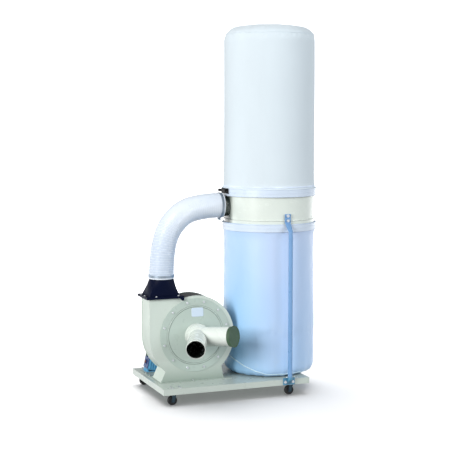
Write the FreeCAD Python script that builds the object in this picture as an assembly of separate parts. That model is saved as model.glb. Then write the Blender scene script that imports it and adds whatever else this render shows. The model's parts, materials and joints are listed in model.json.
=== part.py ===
import FreeCAD, Part
import math
import os

# Two-bag dust collector on a wheeled base, in millimetres.
# Working axes: X to the right and Y to the back from the base's front left corner, Z up from the floor.
# Everything is moved by -ORIGIN on export, so that the origin is the bottom centre of the whole machine.

V = FreeCAD.Vector
X_AXIS = V(1, 0, 0)
Y_AXIS = V(0, 1, 0)
Z_AXIS = V(0, 0, 1)
ORIGIN = V(459, 237, 0)

# Base pan and sole plate
BASE_L = 827
BASE_D = 559
BASE_TOP = 90
BASE_SHEET = 3
FLANGE_BOTTOM = 58
SOLE_X = (21, 429)
SOLE_Y = (135, 504)
SOLE_TOP = BASE_TOP + 3
SOLE_BOLTS = [(30, 332), (30, 400), (420, 236), (420, 440), (210, 142), (150, 494), (340, 494)]

# Casters
WHEEL_R = 25
WHEEL_W = 20
WHEEL_HUB_R = 9
CASTER_AXLE_R = 4
CASTER_TRAIL = 19
CASTER_PIVOTS = {
    "front_left": (74, 30),
    "front_right": (737, 30),
    "rear_left": (74, 529),
    "rear_right": (737, 529),
}
CASTER_BOLT_SPACING = (44, 30)
CASTER_RACE_R = 17
KINGPIN_R = 5
CASTER_PLATE = (60, 50, 2.5)
FORK_TOP = 76
FORK_SHEET = 2.5
FORK_GAP = WHEEL_W + 3

# Blower: axis, plates and the three quarter arcs of its scroll
FAN_X = 227
FAN_Z = 337
PLATE_FRONT = 150
PLATE_T = 2.5
BAND_Y = (PLATE_FRONT + PLATE_T, 292)
BACK_PLATE_T = 3
BACK_FACE = BAND_Y[1] + BACK_PLATE_T
BAND_T = 2
ARC_RIGHT = (228, 329, 216)
ARC_LOWER = (213, 329, 231)
ARC_LEFT = (213, 336, 238)
OUTLET_RIGHT = 141
OUTLET_TOP = 549
PLATE_LIP = 3
FOOT_TOP_Z = 160
FOOT_TOP_X = (64, 374)
FOOT_BOTTOM_X = (33, 388)
FOOT_FLANGE = 14
FOOT_SIDE_T = 2.5
SOLE_BOLT_ROOM = 7

# Inlet cover, Y fitting and cap
COVER_R = 197
COVER_T = 3
COVER_PCD = 360
COVER_BOLTS = 12
COVER_HOLE_R = 170
BEAD_R = 155
BEAD_ROD_R = 4
CONE_DEPTH = 10
SPIGOT_R = 63.3
SPIGOT_TIP = 118
JUNCTION = V(FAN_X, 100, FAN_Z)
SLEEVE_R = 65
JUNCTION_R = 61
SLEEVE_BACK = 136
BRANCH_R = 51
BRANCH_T = 1.5
OPEN_AXIS = V(-0.40, -0.907, -0.14).normalize()
CAPPED_AXIS = V(0.617, -0.78, 0.09).normalize()
OPEN_LENGTH = 212
CAPPED_LENGTH = 218
RIM_R = 1.8
HOSE_STOP_S = 90
HOSE_STOP_R = 1.2
CAP_R = 56.5
CAP_DEPTH = 18
CAP_T = 2.5

# Outlet adapter, square to round
ADAPTER_X = (-46, 160)
ADAPTER_Y = (135, 307)
ADAPTER_T = 3
ADAPTER_SKIRT = 9
ADAPTER_WALL = 2
ADAPTER_TOP = 636
HOSE_FOOT = V(61, 221, 640)
ADAPTER_TOP_R = 66.5
COLLAR_R = 63.3
COLLAR_TOP = 668
ADAPTER_SCREWS = [(8, 144), (130, 144), (8, 299), (130, 299), (-37, 198), (150.5, 198), (-37, 260),
                  (150.5, 260)]

# Drum, bags and bands
DRUM_X = 705
DRUM_Y = 279.5
DRUM_R = 250
DRUM_T = 2
DRUM_Z = (880, 1107)
DRUM_BEAD_Z = 941
DRUM_BEAD_R = 3
HEM_R = 255
BAND_IN_R = 255.2
BAND_OUT_R = 259
UPPER_BAND_Z = (1066, 1107)
LOWER_BAND_Z = (880, 920)
STUB_ROOT = (469, 1009, 54.5)
STUB_NECK_X = 444
STUB_MOUTH = (426, 1015)
STUB_TIP_X = 392
HOSE_END_X = 425
FILTER_TOP = 1988
BAG_FLOOR = BASE_TOP + 0.4
BAG_R = 256
BAG_CORNER_R = 50

# Hose
HOSE_R = 69
HOSE_T = 5
HOSE_WALL_CLEARANCE = 0.2

# Latches on the bands
LATCH_PIN_X = -34
LATCH_PIN_Y = BAND_OUT_R + 12
LATCH_PIN_R = 2.5
UPPER_LATCH_AZIMUTH = 180
LOWER_LATCH_AZIMUTH = 40

# Struts
STRUT_R = 12
STRUT_T = 4
STRUT_TOP = (927, 977)
STRUT_KNEE_Z = 884
STRUT_BOLT_Z = (942, 967)
STRUT_FOOT_T = 3
STRUT_FOOT_X = (671, 739)
STRUT_FOOT_Z = (60, 98)
STRUT_FOOT_BOLT_Z = 76
STRUT_FOOT_GRIP = 8
STRUT_Y = -17

# Motor
MOTOR_R = 88
MOTOR_FIN_R = 100
MOTOR_FINS = 36
MOTOR_FLANGE_R = 112
MOTOR_FLANGE_T = 12
MOTOR_BODY_Y = (BACK_FACE + MOTOR_FLANGE_T, 500)
MOTOR_WALL = 6
MOTOR_BOLT_RING_R = 98
MOTOR_REAR_BELL_T = 14
FAN_COVER_END = 566
BELL_SPIGOT_R = MOTOR_R - MOTOR_WALL - 0.2
BEARING_R = 26
FRONT_BEARING_Y = (BACK_FACE + 6, BACK_FACE + 21)
REAR_BEARING_Y = (MOTOR_BODY_Y[1] - 1, MOTOR_BODY_Y[1] + 14)
ROTOR_R = 54.6
STATOR_R = 55
STATOR_Y = (350, 460)
COIL_LENGTH = 20

# Shaft, impeller and cooling fan
SHAFT_R = 12
SHAFT_FRONT = 205
SHAFT_REAR = MOTOR_BODY_Y[1] + 48
SHAFT_NOSE_R = 9
SHAFT_TAIL_R = 8
HUB_Y = (245, 281)
HUB_R = 28
BACK_DISC_Y = (272, 275)
IMPELLER_R = 165
IMPELLER_BLADES = 6
BLADE_T = 2.5
BLADE_RIM_FRONT = 190
COOLING_FAN_Y = (MOTOR_BODY_Y[1] + 24, MOTOR_BODY_Y[1] + 46)
COOLING_BLADES = 8

# Terminal box on the motor
TERMINAL_BOX_Z = FAN_Z + MOTOR_FIN_R + 2
TERMINAL_X = (FAN_X - 44, FAN_X + 44)
TERMINAL_Y = (356, 444)
TERMINAL_H = 34
TERMINAL_WALL = 3

# Starter box: it leans over its foot's lower left edge and its cover faces left
BOX_FOOT = V(36, 424, SOLE_TOP)
BOX_W = 58
BOX_D = 70
BOX_H = 96
BOX_RISE = 20
BOX_LEAN = 12
BOX_X = (BOX_FOOT.x + 6, BOX_FOOT.x + 6 + BOX_W)
BOX_Y = (BOX_FOOT.y, BOX_FOOT.y + BOX_D)
BOX_Z = (BOX_FOOT.z + BOX_RISE, BOX_FOOT.z + BOX_RISE + BOX_H)
BOX_MID_Y = BOX_FOOT.y + BOX_D / 2
BUTTON_Z = {"start_button": BOX_Z[0] + 72, "stop_button": BOX_Z[0] + 34}
BUTTON_R = 9
BUTTON_STANDOFF = 6

# Motor lead and cable glands
LEAD_R = 4.5
GLAND_BORE_R = LEAD_R + 0.5

# Screws, by thread size, and clearances
M6 = 6
M8 = 8
M10 = 10
CLEARANCE = 0.3
JOURNAL_GAP = 0.05


def box(x, y, z):
    return Part.makeBox(x[1] - x[0], y[1] - y[0], z[1] - z[0], V(x[0], y[0], z[0]))


def rod(radius, start, direction, length):
    return Part.makeCylinder(radius, length, start, direction)


def pipe(outer, inner, start, direction, length):
    return rod(outer, start, direction, length).cut(rod(inner, start, direction, length))


def union(shapes):
    result = shapes[0]
    for shape in shapes[1:]:
        result = result.fuse(shape)
    return result.removeSplitter()


def cut_all(shape, tools):
    for tool in tools:
        shape = shape.cut(tool)
    return shape


def revolve(points, origin, axis, radial):
    """Turn a closed outline of (radius, height) points about an axis."""
    corners = [origin + radial * r + axis * h for r, h in points]
    wire = Part.makePolygon(corners + corners[:1])
    return Part.Face(wire).revolve(origin, axis, 360)


def about_fan(points):
    """Turn (radius, Y) points about the fan's axis."""
    return revolve(points, V(FAN_X, 0, FAN_Z), Y_AXIS, X_AXIS)


def about_drum(points):
    """Turn (radius, Z) points about the drum's axis."""
    return revolve(points, V(DRUM_X, DRUM_Y, 0), Z_AXIS, X_AXIS)


def hex_prism(across_flats, height, base, direction):
    """A hexagonal prism standing on base along direction."""
    radius = across_flats / math.sqrt(3)
    corners = []
    for i in range(6):
        angle = math.radians(60 * i)
        corners.append(V(radius * math.cos(angle), radius * math.sin(angle), 0))
    prism = Part.Face(Part.makePolygon(corners + corners[:1])).extrude(V(0, 0, height))
    turn = FreeCAD.Rotation(Z_AXIS, direction)
    prism.Placement = FreeCAD.Placement(base, turn)
    return prism


def screw(seat, direction, size, grip):
    """Hex-head screw: head and washer stand on seat along direction, shank goes the other way for grip."""
    head = hex_prism(1.6 * size, 0.65 * size, seat + direction * 0.2 * size, direction)
    washer = rod(size, seat, direction, 0.2 * size)
    shank = rod(size / 2, seat - direction * grip, direction, grip + 0.2 * size)
    return union([head, washer, shank])


def vertical_hole(x, y):
    """Clearance hole for an M6 screw down through the base's sheets."""
    return rod(M6 / 2 + 0.15, V(x, y, BASE_TOP - 15), Z_AXIS, 25)


def screw_hole(seat, direction, size, grip):
    """The clearance hole for a screw of this size and grip."""
    return rod(size / 2 + 0.15, seat - direction * (grip + 1), direction, grip + 2)


def fillet_path(points):
    """One wire of straight runs joined by tangent arcs as large as the runs allow."""
    edges = []
    start = points[0]
    for before, corner, after in zip(points, points[1:], points[2:]):
        into = (corner - before).normalize()
        out = (after - corner).normalize()
        half_turn = into.getAngle(out) / 2
        trim = 0.45 * min((corner - before).Length, (after - corner).Length)
        radius = trim / math.tan(half_turn)
        first = corner - into * trim
        last = corner + out * trim
        inward = (out - into).normalize()
        middle = corner + inward * (radius / math.cos(half_turn) - radius)
        edges.append(Part.LineSegment(start, first).toShape())
        edges.append(Part.Arc(first, middle, last).toShape())
        start = last
    edges.append(Part.LineSegment(start, points[-1]).toShape())
    return Part.Wire(edges)


def sweep(points, radius):
    path = fillet_path(points)
    direction = (points[1] - points[0]).normalize()
    ring = Part.Wire(Part.makeCircle(radius, points[0], direction))
    return path.makePipeShell([ring], True, False)


# Base and sole plate

def bolt_points_about(pivot_x, pivot_y):
    half_x = CASTER_BOLT_SPACING[0] / 2
    half_y = CASTER_BOLT_SPACING[1] / 2
    return [(pivot_x + i * half_x, pivot_y + j * half_y) for i in (-1, 1) for j in (-1, 1)]


def caster_bolt_points():
    points = []
    for pivot_x, pivot_y in CASTER_PIVOTS.values():
        points += bolt_points_about(pivot_x, pivot_y)
    return points


def strut_foot_x():
    return (DRUM_X - 22, DRUM_X + 22)


def strut_foot_seats():
    """Seat point and outward direction of each strut foot screw, on the base's front and rear flanges."""
    seats = []
    for x in strut_foot_x():
        seats.append((V(x, -STRUT_FOOT_T, STRUT_FOOT_BOLT_Z), V(0, -1, 0)))
        seats.append((V(x, BASE_D + STRUT_FOOT_T, STRUT_FOOT_BOLT_Z), V(0, 1, 0)))
    return seats


def base_pan():
    outer = box((0, BASE_L), (0, BASE_D), (FLANGE_BOTTOM, BASE_TOP))
    wall = BASE_SHEET
    inner = box((wall, BASE_L - wall), (wall, BASE_D - wall), (FLANGE_BOTTOM - 1, BASE_TOP - wall))
    pan = outer.cut(inner)
    holes = [vertical_hole(x, y) for x, y in caster_bolt_points() + SOLE_BOLTS]
    for seat, direction in strut_foot_seats():
        holes.append(screw_hole(seat, direction, M8, 14))
    return cut_all(pan, holes)


def sole_plate():
    plate = box(SOLE_X, SOLE_Y, (BASE_TOP, SOLE_TOP))
    return cut_all(plate, [vertical_hole(x, y) for x, y in SOLE_BOLTS])


def sole_bolts():
    return [screw(V(x, y, SOLE_TOP), Z_AXIS, M6, 12) for x, y in SOLE_BOLTS]


# Casters

def caster_plates():
    plates = []
    length, width, thick = CASTER_PLATE
    top = BASE_TOP - BASE_SHEET
    for pivot_x, pivot_y in CASTER_PIVOTS.values():
        sheet = box((pivot_x - length / 2, pivot_x + length / 2), (pivot_y - width / 2, pivot_y + width / 2),
                    (top - thick, top))
        race_z = FORK_TOP + CLEARANCE + 0.1
        race = rod(CASTER_RACE_R, V(pivot_x, pivot_y, race_z), Z_AXIS, top - thick - race_z)
        kingpin = rod(KINGPIN_R, V(pivot_x, pivot_y, FORK_TOP - FORK_SHEET - 3), Z_AXIS, 8)
        holes = [vertical_hole(x, y) for x, y in bolt_points_about(pivot_x, pivot_y)]
        plates.append(cut_all(union([sheet, race, kingpin]), holes))
    return Part.makeCompound(plates)


def caster_bolts():
    return [screw(V(x, y, BASE_TOP), Z_AXIS, M6, 9) for x, y in caster_bolt_points()]


def caster_fork(pivot_x, pivot_y):
    wheel_x = pivot_x - CASTER_TRAIL
    half = FORK_GAP / 2
    crown = rod(CASTER_RACE_R, V(pivot_x, pivot_y, FORK_TOP - FORK_SHEET), Z_AXIS, FORK_SHEET)
    side = half + FORK_SHEET
    deck = box((pivot_x - CASTER_RACE_R, pivot_x + 6), (pivot_y - side, pivot_y + side),
               (FORK_TOP - FORK_SHEET, FORK_TOP))
    parts = [crown, deck]
    for side in (-1, 1):
        inner = pivot_y + side * half
        corners = [V(pivot_x - CASTER_RACE_R, inner, FORK_TOP), V(pivot_x + 6, inner, FORK_TOP),
                   V(wheel_x + 9, inner, WHEEL_R - 9), V(wheel_x - 9, inner, WHEEL_R - 9)]
        parts.append(Part.Face(Part.makePolygon(corners + corners[:1])).extrude(V(0, side * FORK_SHEET, 0)))
    fork = union(parts)
    fork = fork.cut(rod(KINGPIN_R + JOURNAL_GAP, V(pivot_x, pivot_y, FORK_TOP - 10), Z_AXIS, 20))
    axle_hole = rod(CASTER_AXLE_R, V(wheel_x, pivot_y - 40, WHEEL_R), Y_AXIS, 80)
    return fork.cut(axle_hole)


def caster_axle(pivot_x, pivot_y):
    wheel_x = pivot_x - CASTER_TRAIL
    reach = FORK_GAP / 2 + FORK_SHEET
    shank = rod(CASTER_AXLE_R, V(wheel_x, pivot_y - reach, WHEEL_R), Y_AXIS, 2 * reach)
    heads = [rod(7, V(wheel_x, pivot_y - reach - 3, WHEEL_R), Y_AXIS, 3),
             rod(7, V(wheel_x, pivot_y + reach, WHEEL_R), Y_AXIS, 3)]
    return union([shank] + heads)


def caster_wheel(pivot_x, pivot_y):
    half = WHEEL_W / 2
    bore = CASTER_AXLE_R + JOURNAL_GAP
    outline = [(bore, -half - 0.8), (WHEEL_HUB_R, -half - 0.8), (WHEEL_HUB_R, -half + 3),
               (WHEEL_R - 6, -half + 3),
               (WHEEL_R - 5, -half), (WHEEL_R - 1.5, -half), (WHEEL_R, -half + 3), (WHEEL_R, half - 3),
               (WHEEL_R - 1.5, half), (WHEEL_R - 5, half), (WHEEL_R - 6, half - 3), (WHEEL_HUB_R, half - 3),
               (WHEEL_HUB_R, half + 0.8), (bore, half + 0.8)]
    return revolve(outline, V(pivot_x - CASTER_TRAIL, pivot_y, WHEEL_R), Y_AXIS, X_AXIS)


# Blower housing

def scroll_face(inset, top, y):
    """Outline of the scroll and its outlet, drawn inset from the outside of the band."""
    left = ARC_LEFT[0] - ARC_LEFT[2] + inset
    right = OUTLET_RIGHT - inset
    bottom = V(ARC_LOWER[0], y, ARC_LOWER[1] - ARC_LOWER[2] + inset)
    side = V(ARC_RIGHT[0] + ARC_RIGHT[2] - inset, y, ARC_RIGHT[1])
    radius = ARC_RIGHT[2] - inset
    tongue = V(right, y, ARC_RIGHT[1] + math.sqrt(radius ** 2 - (ARC_RIGHT[0] - right) ** 2))

    def on_arc(arc, degrees):
        centre_x, centre_z, arc_r = arc
        angle = math.radians(degrees)
        radius = arc_r - inset
        return V(centre_x + radius * math.cos(angle), y, centre_z + radius * math.sin(angle))

    corner = V(left, y, ARC_LEFT[1])
    edges = [
        Part.LineSegment(V(left, y, top), corner).toShape(),
        Part.Arc(corner, on_arc(ARC_LEFT, 225), bottom).toShape(),
        Part.Arc(bottom, on_arc(ARC_LOWER, 315), side).toShape(),
        Part.Arc(side, on_arc(ARC_RIGHT, 60), tongue).toShape(),
        Part.LineSegment(tongue, V(right, y, top)).toShape(),
        Part.LineSegment(V(right, y, top), V(left, y, top)).toShape(),
    ]
    return Part.Face(Part.Wire(edges))


def foot_sides():
    """The sloping sheets that close the foot's left and right ends, drawn on into the scroll's hollow."""
    depth = V(0, BAND_Y[1] - BAND_Y[0], 0)
    sides = []
    for top_x, bottom_x, inward in zip(FOOT_TOP_X, FOOT_BOTTOM_X, (1, -1)):
        across = V(inward * FOOT_SIDE_T, 0, 0)
        low = V(bottom_x, BAND_Y[0], SOLE_TOP)
        high = low + (V(top_x, BAND_Y[0], FOOT_TOP_Z) - low) * 1.2
        outline = Part.makePolygon([low, high, high + across, low + across, low])
        sides.append(Part.Face(outline).extrude(depth))
    return sides


def scroll_band():
    """The housing's rolled wall, with the foot's two end sheets welded to it."""
    depth = V(0, BAND_Y[1] - BAND_Y[0], 0)
    outer = scroll_face(0, OUTLET_TOP, BAND_Y[0]).extrude(depth)
    inner = scroll_face(BAND_T, OUTLET_TOP + 5, BAND_Y[0]).extrude(depth)
    return union([outer] + foot_sides()).cut(inner)


def foot_face(y):
    corners = [V(FOOT_TOP_X[0], y, FOOT_TOP_Z), V(FOOT_BOTTOM_X[0], y, SOLE_TOP),
               V(FOOT_BOTTOM_X[1], y, SOLE_TOP), V(FOOT_TOP_X[1], y, FOOT_TOP_Z)]
    return Part.Face(Part.makePolygon(corners + corners[:1]))


def housing_plate(y, thickness, foot_direction):
    """Side plate of the housing, with its foot and the foot's turned flange."""
    panel = scroll_face(-PLATE_LIP, OUTLET_TOP, y).extrude(V(0, thickness, 0))
    foot = foot_face(y).extrude(V(0, thickness, 0))
    edge = y if foot_direction < 0 else y + thickness
    span = sorted((edge, edge + foot_direction * FOOT_FLANGE))
    flange = box((FOOT_BOTTOM_X[0], FOOT_BOTTOM_X[1]), span, (SOLE_TOP, SOLE_TOP + thickness))
    return union([panel, foot, flange])


def cover_bolt_seats():
    seats = []
    for i in range(COVER_BOLTS):
        angle = math.radians(15 + 360 / COVER_BOLTS * i)
        seats.append(V(FAN_X + COVER_PCD / 2 * math.cos(angle), PLATE_FRONT - COVER_T,
                       FAN_Z + COVER_PCD / 2 * math.sin(angle)))
    return seats


def motor_bolt_seats():
    seats = []
    for i in range(4):
        angle = math.radians(45 + 90 * i)
        seats.append(V(FAN_X + MOTOR_BOLT_RING_R * math.cos(angle), BACK_FACE + MOTOR_FLANGE_T,
                       FAN_Z + MOTOR_BOLT_RING_R * math.sin(angle)))
    return seats


def blower_front_plate():
    plate = housing_plate(PLATE_FRONT, PLATE_T, -1)
    plate = plate.cut(rod(COVER_HOLE_R, V(FAN_X, PLATE_FRONT - 1, FAN_Z), Y_AXIS, PLATE_T + 2))
    holes = [screw_hole(seat, V(0, -1, 0), M6, 9) for seat in cover_bolt_seats()]
    under_flange = [(x, y) for x, y in SOLE_BOLTS if y < PLATE_FRONT]
    holes += [rod(SOLE_BOLT_ROOM, V(x, y, SOLE_TOP - 1), Z_AXIS, 10) for x, y in under_flange]
    return cut_all(plate, holes)


def blower_back_plate():
    plate = housing_plate(BAND_Y[1], BACK_PLATE_T, 1)
    holes = [screw_hole(seat, Y_AXIS, M10, 22) for seat in motor_bolt_seats()]
    holes.append(rod(SHAFT_R + 6, V(FAN_X, BAND_Y[1] - 1, FAN_Z), Y_AXIS, BACK_PLATE_T + 2))
    return cut_all(plate, holes)


def inlet_cover():
    back = PLATE_FRONT
    front = PLATE_FRONT - COVER_T
    cone = front - CONE_DEPTH
    inner_r = SPIGOT_R - BRANCH_T
    outline = [(COVER_R, front), (BEAD_R - 5, front), (SPIGOT_R, cone), (SPIGOT_R, SPIGOT_TIP),
               (inner_r, SPIGOT_TIP), (inner_r, cone + COVER_T), (BEAD_R - 5, back), (COVER_R, back)]
    disc = about_fan(outline)
    bead = Part.makeTorus(BEAD_R, BEAD_ROD_R, V(FAN_X, front + 1, FAN_Z), Y_AXIS)
    cover = union([disc, bead])
    return cut_all(cover, [screw_hole(seat, V(0, -1, 0), M6, 9) for seat in cover_bolt_seats()])


def inlet_cover_bolts():
    return [screw(seat, V(0, -1, 0), M6, 9) for seat in cover_bolt_seats()]


def y_fitting_forms(inset):
    """The sleeve, ball and two branches: the outer forms or, with an inset, the hollows in them."""
    past = 5 if inset else 0
    sleeve = rod(SLEEVE_R - inset, JUNCTION + Y_AXIS * inset, Y_AXIS, SLEEVE_BACK - JUNCTION.y + past)
    ball = Part.makeSphere(JUNCTION_R - inset, V(0, 0, 0), Y_AXIS, -90, 90, 360)
    ball.translate(JUNCTION)
    open_branch = rod(BRANCH_R - inset, JUNCTION, OPEN_AXIS, OPEN_LENGTH + past)
    capped_branch = rod(BRANCH_R - inset, JUNCTION, CAPPED_AXIS, CAPPED_LENGTH + past)
    return [sleeve, ball, open_branch, capped_branch]


def y_fitting():
    outside = y_fitting_forms(0)
    body = outside[0].fuse(outside[1]).fuse(outside[2]).fuse(outside[3])
    behind = rod(SLEEVE_R + 5, V(FAN_X, SLEEVE_BACK, FAN_Z), Y_AXIS, JUNCTION_R)
    shell = cut_all(body, y_fitting_forms(BRANCH_T) + [behind])
    rim = Part.makeTorus(BRANCH_R - RIM_R - 0.05, RIM_R, JUNCTION + OPEN_AXIS * OPEN_LENGTH, OPEN_AXIS)
    hose_stop = Part.makeTorus(BRANCH_R, HOSE_STOP_R, JUNCTION + OPEN_AXIS * HOSE_STOP_S, OPEN_AXIS)
    return shell.fuse(rim).fuse(hose_stop)


def inlet_cap():
    bore = BRANCH_R + CLEARANCE
    outline = [(0, 0.4), (bore, 0.4), (bore, -CAP_DEPTH), (bore + 1.5, -CAP_DEPTH), (bore + 2, -3),
               (CAP_R, -3), (CAP_R, 1.5), (CAP_R - 2, CAP_T + 0.4), (0, CAP_T + 0.4)]
    side = CAPPED_AXIS.cross(Z_AXIS).normalize()
    return revolve(outline, JUNCTION + CAPPED_AXIS * CAPPED_LENGTH, CAPPED_AXIS, side)


# Outlet adapter

def square_to_round(inset, z_bottom, z_top):
    """Ruled transition from the outlet's rectangle to the round top."""
    x0 = ARC_LEFT[0] - ARC_LEFT[2] + inset
    x1 = OUTLET_RIGHT - inset
    y0 = BAND_Y[0] + inset
    y1 = BAND_Y[1] - inset
    radius = ADAPTER_TOP_R - inset
    rect = Part.makePolygon([V(x0, y0, z_bottom), V(x1, y0, z_bottom), V(x1, y1, z_bottom),
                             V(x0, y1, z_bottom), V(x0, y0, z_bottom)])

    def on_circle(degrees):
        angle = math.radians(degrees)
        return V(HOSE_FOOT.x + radius * math.cos(angle), HOSE_FOOT.y + radius * math.sin(angle), z_top)

    arcs = []
    for start in (225, 315, 45, 135):
        arcs.append(Part.Arc(on_circle(start), on_circle(start + 45), on_circle(start + 90)).toShape())
    return Part.makeLoft([rect, Part.Wire(arcs)], True, True)


def outlet_adapter():
    base_z = OUTLET_TOP
    flange = box(ADAPTER_X, ADAPTER_Y, (base_z, base_z + ADAPTER_T))
    inner_x = (ARC_LEFT[0] - ARC_LEFT[2] + ADAPTER_WALL, OUTLET_RIGHT - ADAPTER_WALL)
    inner_y = (BAND_Y[0] + ADAPTER_WALL, BAND_Y[1] - ADAPTER_WALL)
    opening = box(inner_x, inner_y, (base_z - 1, base_z + ADAPTER_T + 1))
    skirt_z = (base_z - ADAPTER_SKIRT, base_z)
    thick = ADAPTER_T
    lug = [V(128, ADAPTER_Y[0], base_z), V(ADAPTER_X[1], ADAPTER_Y[0], base_z),
           V(ADAPTER_X[1], ADAPTER_Y[0], base_z - 22), V(ADAPTER_X[1] - 12, ADAPTER_Y[0], base_z - 22)]
    skirts = [
        box(ADAPTER_X, (ADAPTER_Y[0], ADAPTER_Y[0] + thick), skirt_z),
        box(ADAPTER_X, (ADAPTER_Y[1] - thick, ADAPTER_Y[1]), skirt_z),
        box((ADAPTER_X[0], ADAPTER_X[0] + thick), ADAPTER_Y, skirt_z),
        Part.Face(Part.makePolygon(lug + lug[:1])).extrude(V(0, thick, 0)),
    ]
    z_low = base_z + ADAPTER_T
    hood = square_to_round(0, z_low, ADAPTER_TOP).cut(square_to_round(ADAPTER_WALL, z_low, ADAPTER_TOP))
    top = V(HOSE_FOOT.x, HOSE_FOOT.y, ADAPTER_TOP)
    shoulder = pipe(ADAPTER_TOP_R, COLLAR_R - ADAPTER_WALL, top, Z_AXIS, ADAPTER_WALL)
    collar = pipe(COLLAR_R, COLLAR_R - ADAPTER_WALL, top, Z_AXIS, COLLAR_TOP - ADAPTER_TOP)
    adapter = union([flange.cut(opening), hood, shoulder, collar] + skirts)
    holes = [screw_hole(V(x, y, base_z + ADAPTER_T), Z_AXIS, M6, 6) for x, y in ADAPTER_SCREWS]
    return cut_all(adapter, holes)


def outlet_flange():
    """Turned flange round the housing's outlet, which the adapter is screwed to."""
    z = (OUTLET_TOP - 3, OUTLET_TOP)
    gap = PLATE_LIP + 0.1
    outer_x = (ADAPTER_X[0] + ADAPTER_T, ADAPTER_X[1] - 2)
    outer_y = (ADAPTER_Y[0] + ADAPTER_T, ADAPTER_Y[1] - ADAPTER_T)
    hole_x = (ARC_LEFT[0] - ARC_LEFT[2] - gap, OUTLET_RIGHT + gap)
    ring = box(outer_x, outer_y, z).cut(box(hole_x, (PLATE_FRONT, BACK_FACE), (z[0] - 1, z[1] + 1)))
    return cut_all(ring, [screw_hole(V(x, y, OUTLET_TOP), Z_AXIS, M6, 6) for x, y in ADAPTER_SCREWS])


def adapter_screws():
    seats = [V(x, y, OUTLET_TOP + ADAPTER_T) for x, y in ADAPTER_SCREWS]
    return [screw(seat, Z_AXIS, M6, 8) for seat in seats]


# Hose and clamps

def hose_points():
    level = STUB_MOUTH[1]
    return [HOSE_FOOT, HOSE_FOOT + V(0, 0, 195), V(172, 243, 984), V(325, DRUM_Y, level),
            V(HOSE_END_X, DRUM_Y, level)]


def flex_hose():
    points = hose_points()
    bore = COLLAR_R + HOSE_WALL_CLEARANCE
    return sweep(points, HOSE_R).cut(sweep(points, bore))


def hose_clamp(centre, direction, side):
    """Worm-drive hose clamp: a strap round the hose and its screw housing."""
    inner = HOSE_R + CLEARANCE
    strap = pipe(inner + 1, inner, centre - direction * 6, direction, 12)
    housing = rod(6, centre + side * (inner + 6) - direction.cross(side) * 14, direction.cross(side), 28)
    return union([strap, housing])


def lower_hose_clamp():
    return hose_clamp(HOSE_FOOT + V(0, 0, 14), Z_AXIS, Y_AXIS)


def upper_hose_clamp():
    return hose_clamp(V(HOSE_END_X - 14, DRUM_Y, STUB_MOUTH[1]), X_AXIS, V(0, 0, -1))


# Drum, bags, bands and latches

def collector_drum():
    bead = []
    for degrees in range(-90, 91, 30):
        angle = math.radians(degrees)
        bead.append((DRUM_R + DRUM_BEAD_R * math.cos(angle), DRUM_BEAD_Z + DRUM_BEAD_R * math.sin(angle)))
    wall = about_drum([(DRUM_R - DRUM_T, DRUM_Z[0]), (DRUM_R, DRUM_Z[0])] + bead
                      + [(DRUM_R, DRUM_Z[1]), (DRUM_R - DRUM_T, DRUM_Z[1])])
    root_x, root_z, root_r = STUB_ROOT
    mouth_x, mouth_z = STUB_MOUTH
    tip = V(STUB_TIP_X, DRUM_Y, mouth_z)

    def stub(inset):
        neck = rod(root_r - inset, V(STUB_NECK_X, DRUM_Y, root_z), X_AXIS, root_x - STUB_NECK_X)
        root = Part.Wire(Part.makeCircle(root_r - inset, V(STUB_NECK_X, DRUM_Y, root_z), X_AXIS))
        mouth = Part.Wire(Part.makeCircle(COLLAR_R - inset, V(mouth_x, DRUM_Y, mouth_z), X_AXIS))
        cone = Part.makeLoft([root, mouth], True, True)
        return union([neck, cone, rod(COLLAR_R - inset, tip, X_AXIS, mouth_x - STUB_TIP_X)])

    inside = rod(DRUM_R - DRUM_T, V(DRUM_X, DRUM_Y, DRUM_Z[0] - 1), Z_AXIS, DRUM_Z[1] - DRUM_Z[0] + 2)
    drum = wall.fuse(stub(0).cut(inside))
    drum = drum.cut(stub(DRUM_T))
    drum = drum.cut(rod(COLLAR_R - DRUM_T, V(STUB_TIP_X - 1, DRUM_Y, mouth_z), X_AXIS, 5))
    inward = rod(root_r - DRUM_T, V(root_x - 3, DRUM_Y, root_z), X_AXIS, 20)
    holes = [screw_hole(V(DRUM_X, DRUM_Y + side * (DRUM_R + 7.5), z), V(0, side, 0), M8, 16)
             for side in (-1, 1) for z in STRUT_BOLT_Z]
    return cut_all(drum, [inward] + holes)


def filter_bag():
    wall = 3
    cuff_z = UPPER_BAND_Z[0] - 2
    outside = [(HEM_R, cuff_z), (HEM_R, UPPER_BAND_Z[1]), (DRUM_R, 1130), (248, 1300), (248, 1925),
               (242, 1948), (215, 1968), (120, 1983), (0, FILTER_TOP)]
    inside = [(DRUM_R + 0.2, cuff_z), (DRUM_R + 0.2, UPPER_BAND_Z[1] + 0.3), (DRUM_R - wall, 1130),
              (248 - wall, 1300), (248 - wall, 1924), (239.5, 1946), (213, 1968 - wall), (119, 1983 - wall),
              (0, FILTER_TOP - wall)]
    return about_drum(outside + inside[::-1])


def bag_corner(radius):
    """Points round the bag's bottom corner, from its side down to its floor."""
    centre_r = BAG_R - BAG_CORNER_R
    centre_z = BAG_FLOOR + BAG_CORNER_R
    angles = [math.radians(-15 * i) for i in range(7)]
    return [(centre_r + radius * math.cos(a), centre_z + radius * math.sin(a)) for a in angles]


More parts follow.
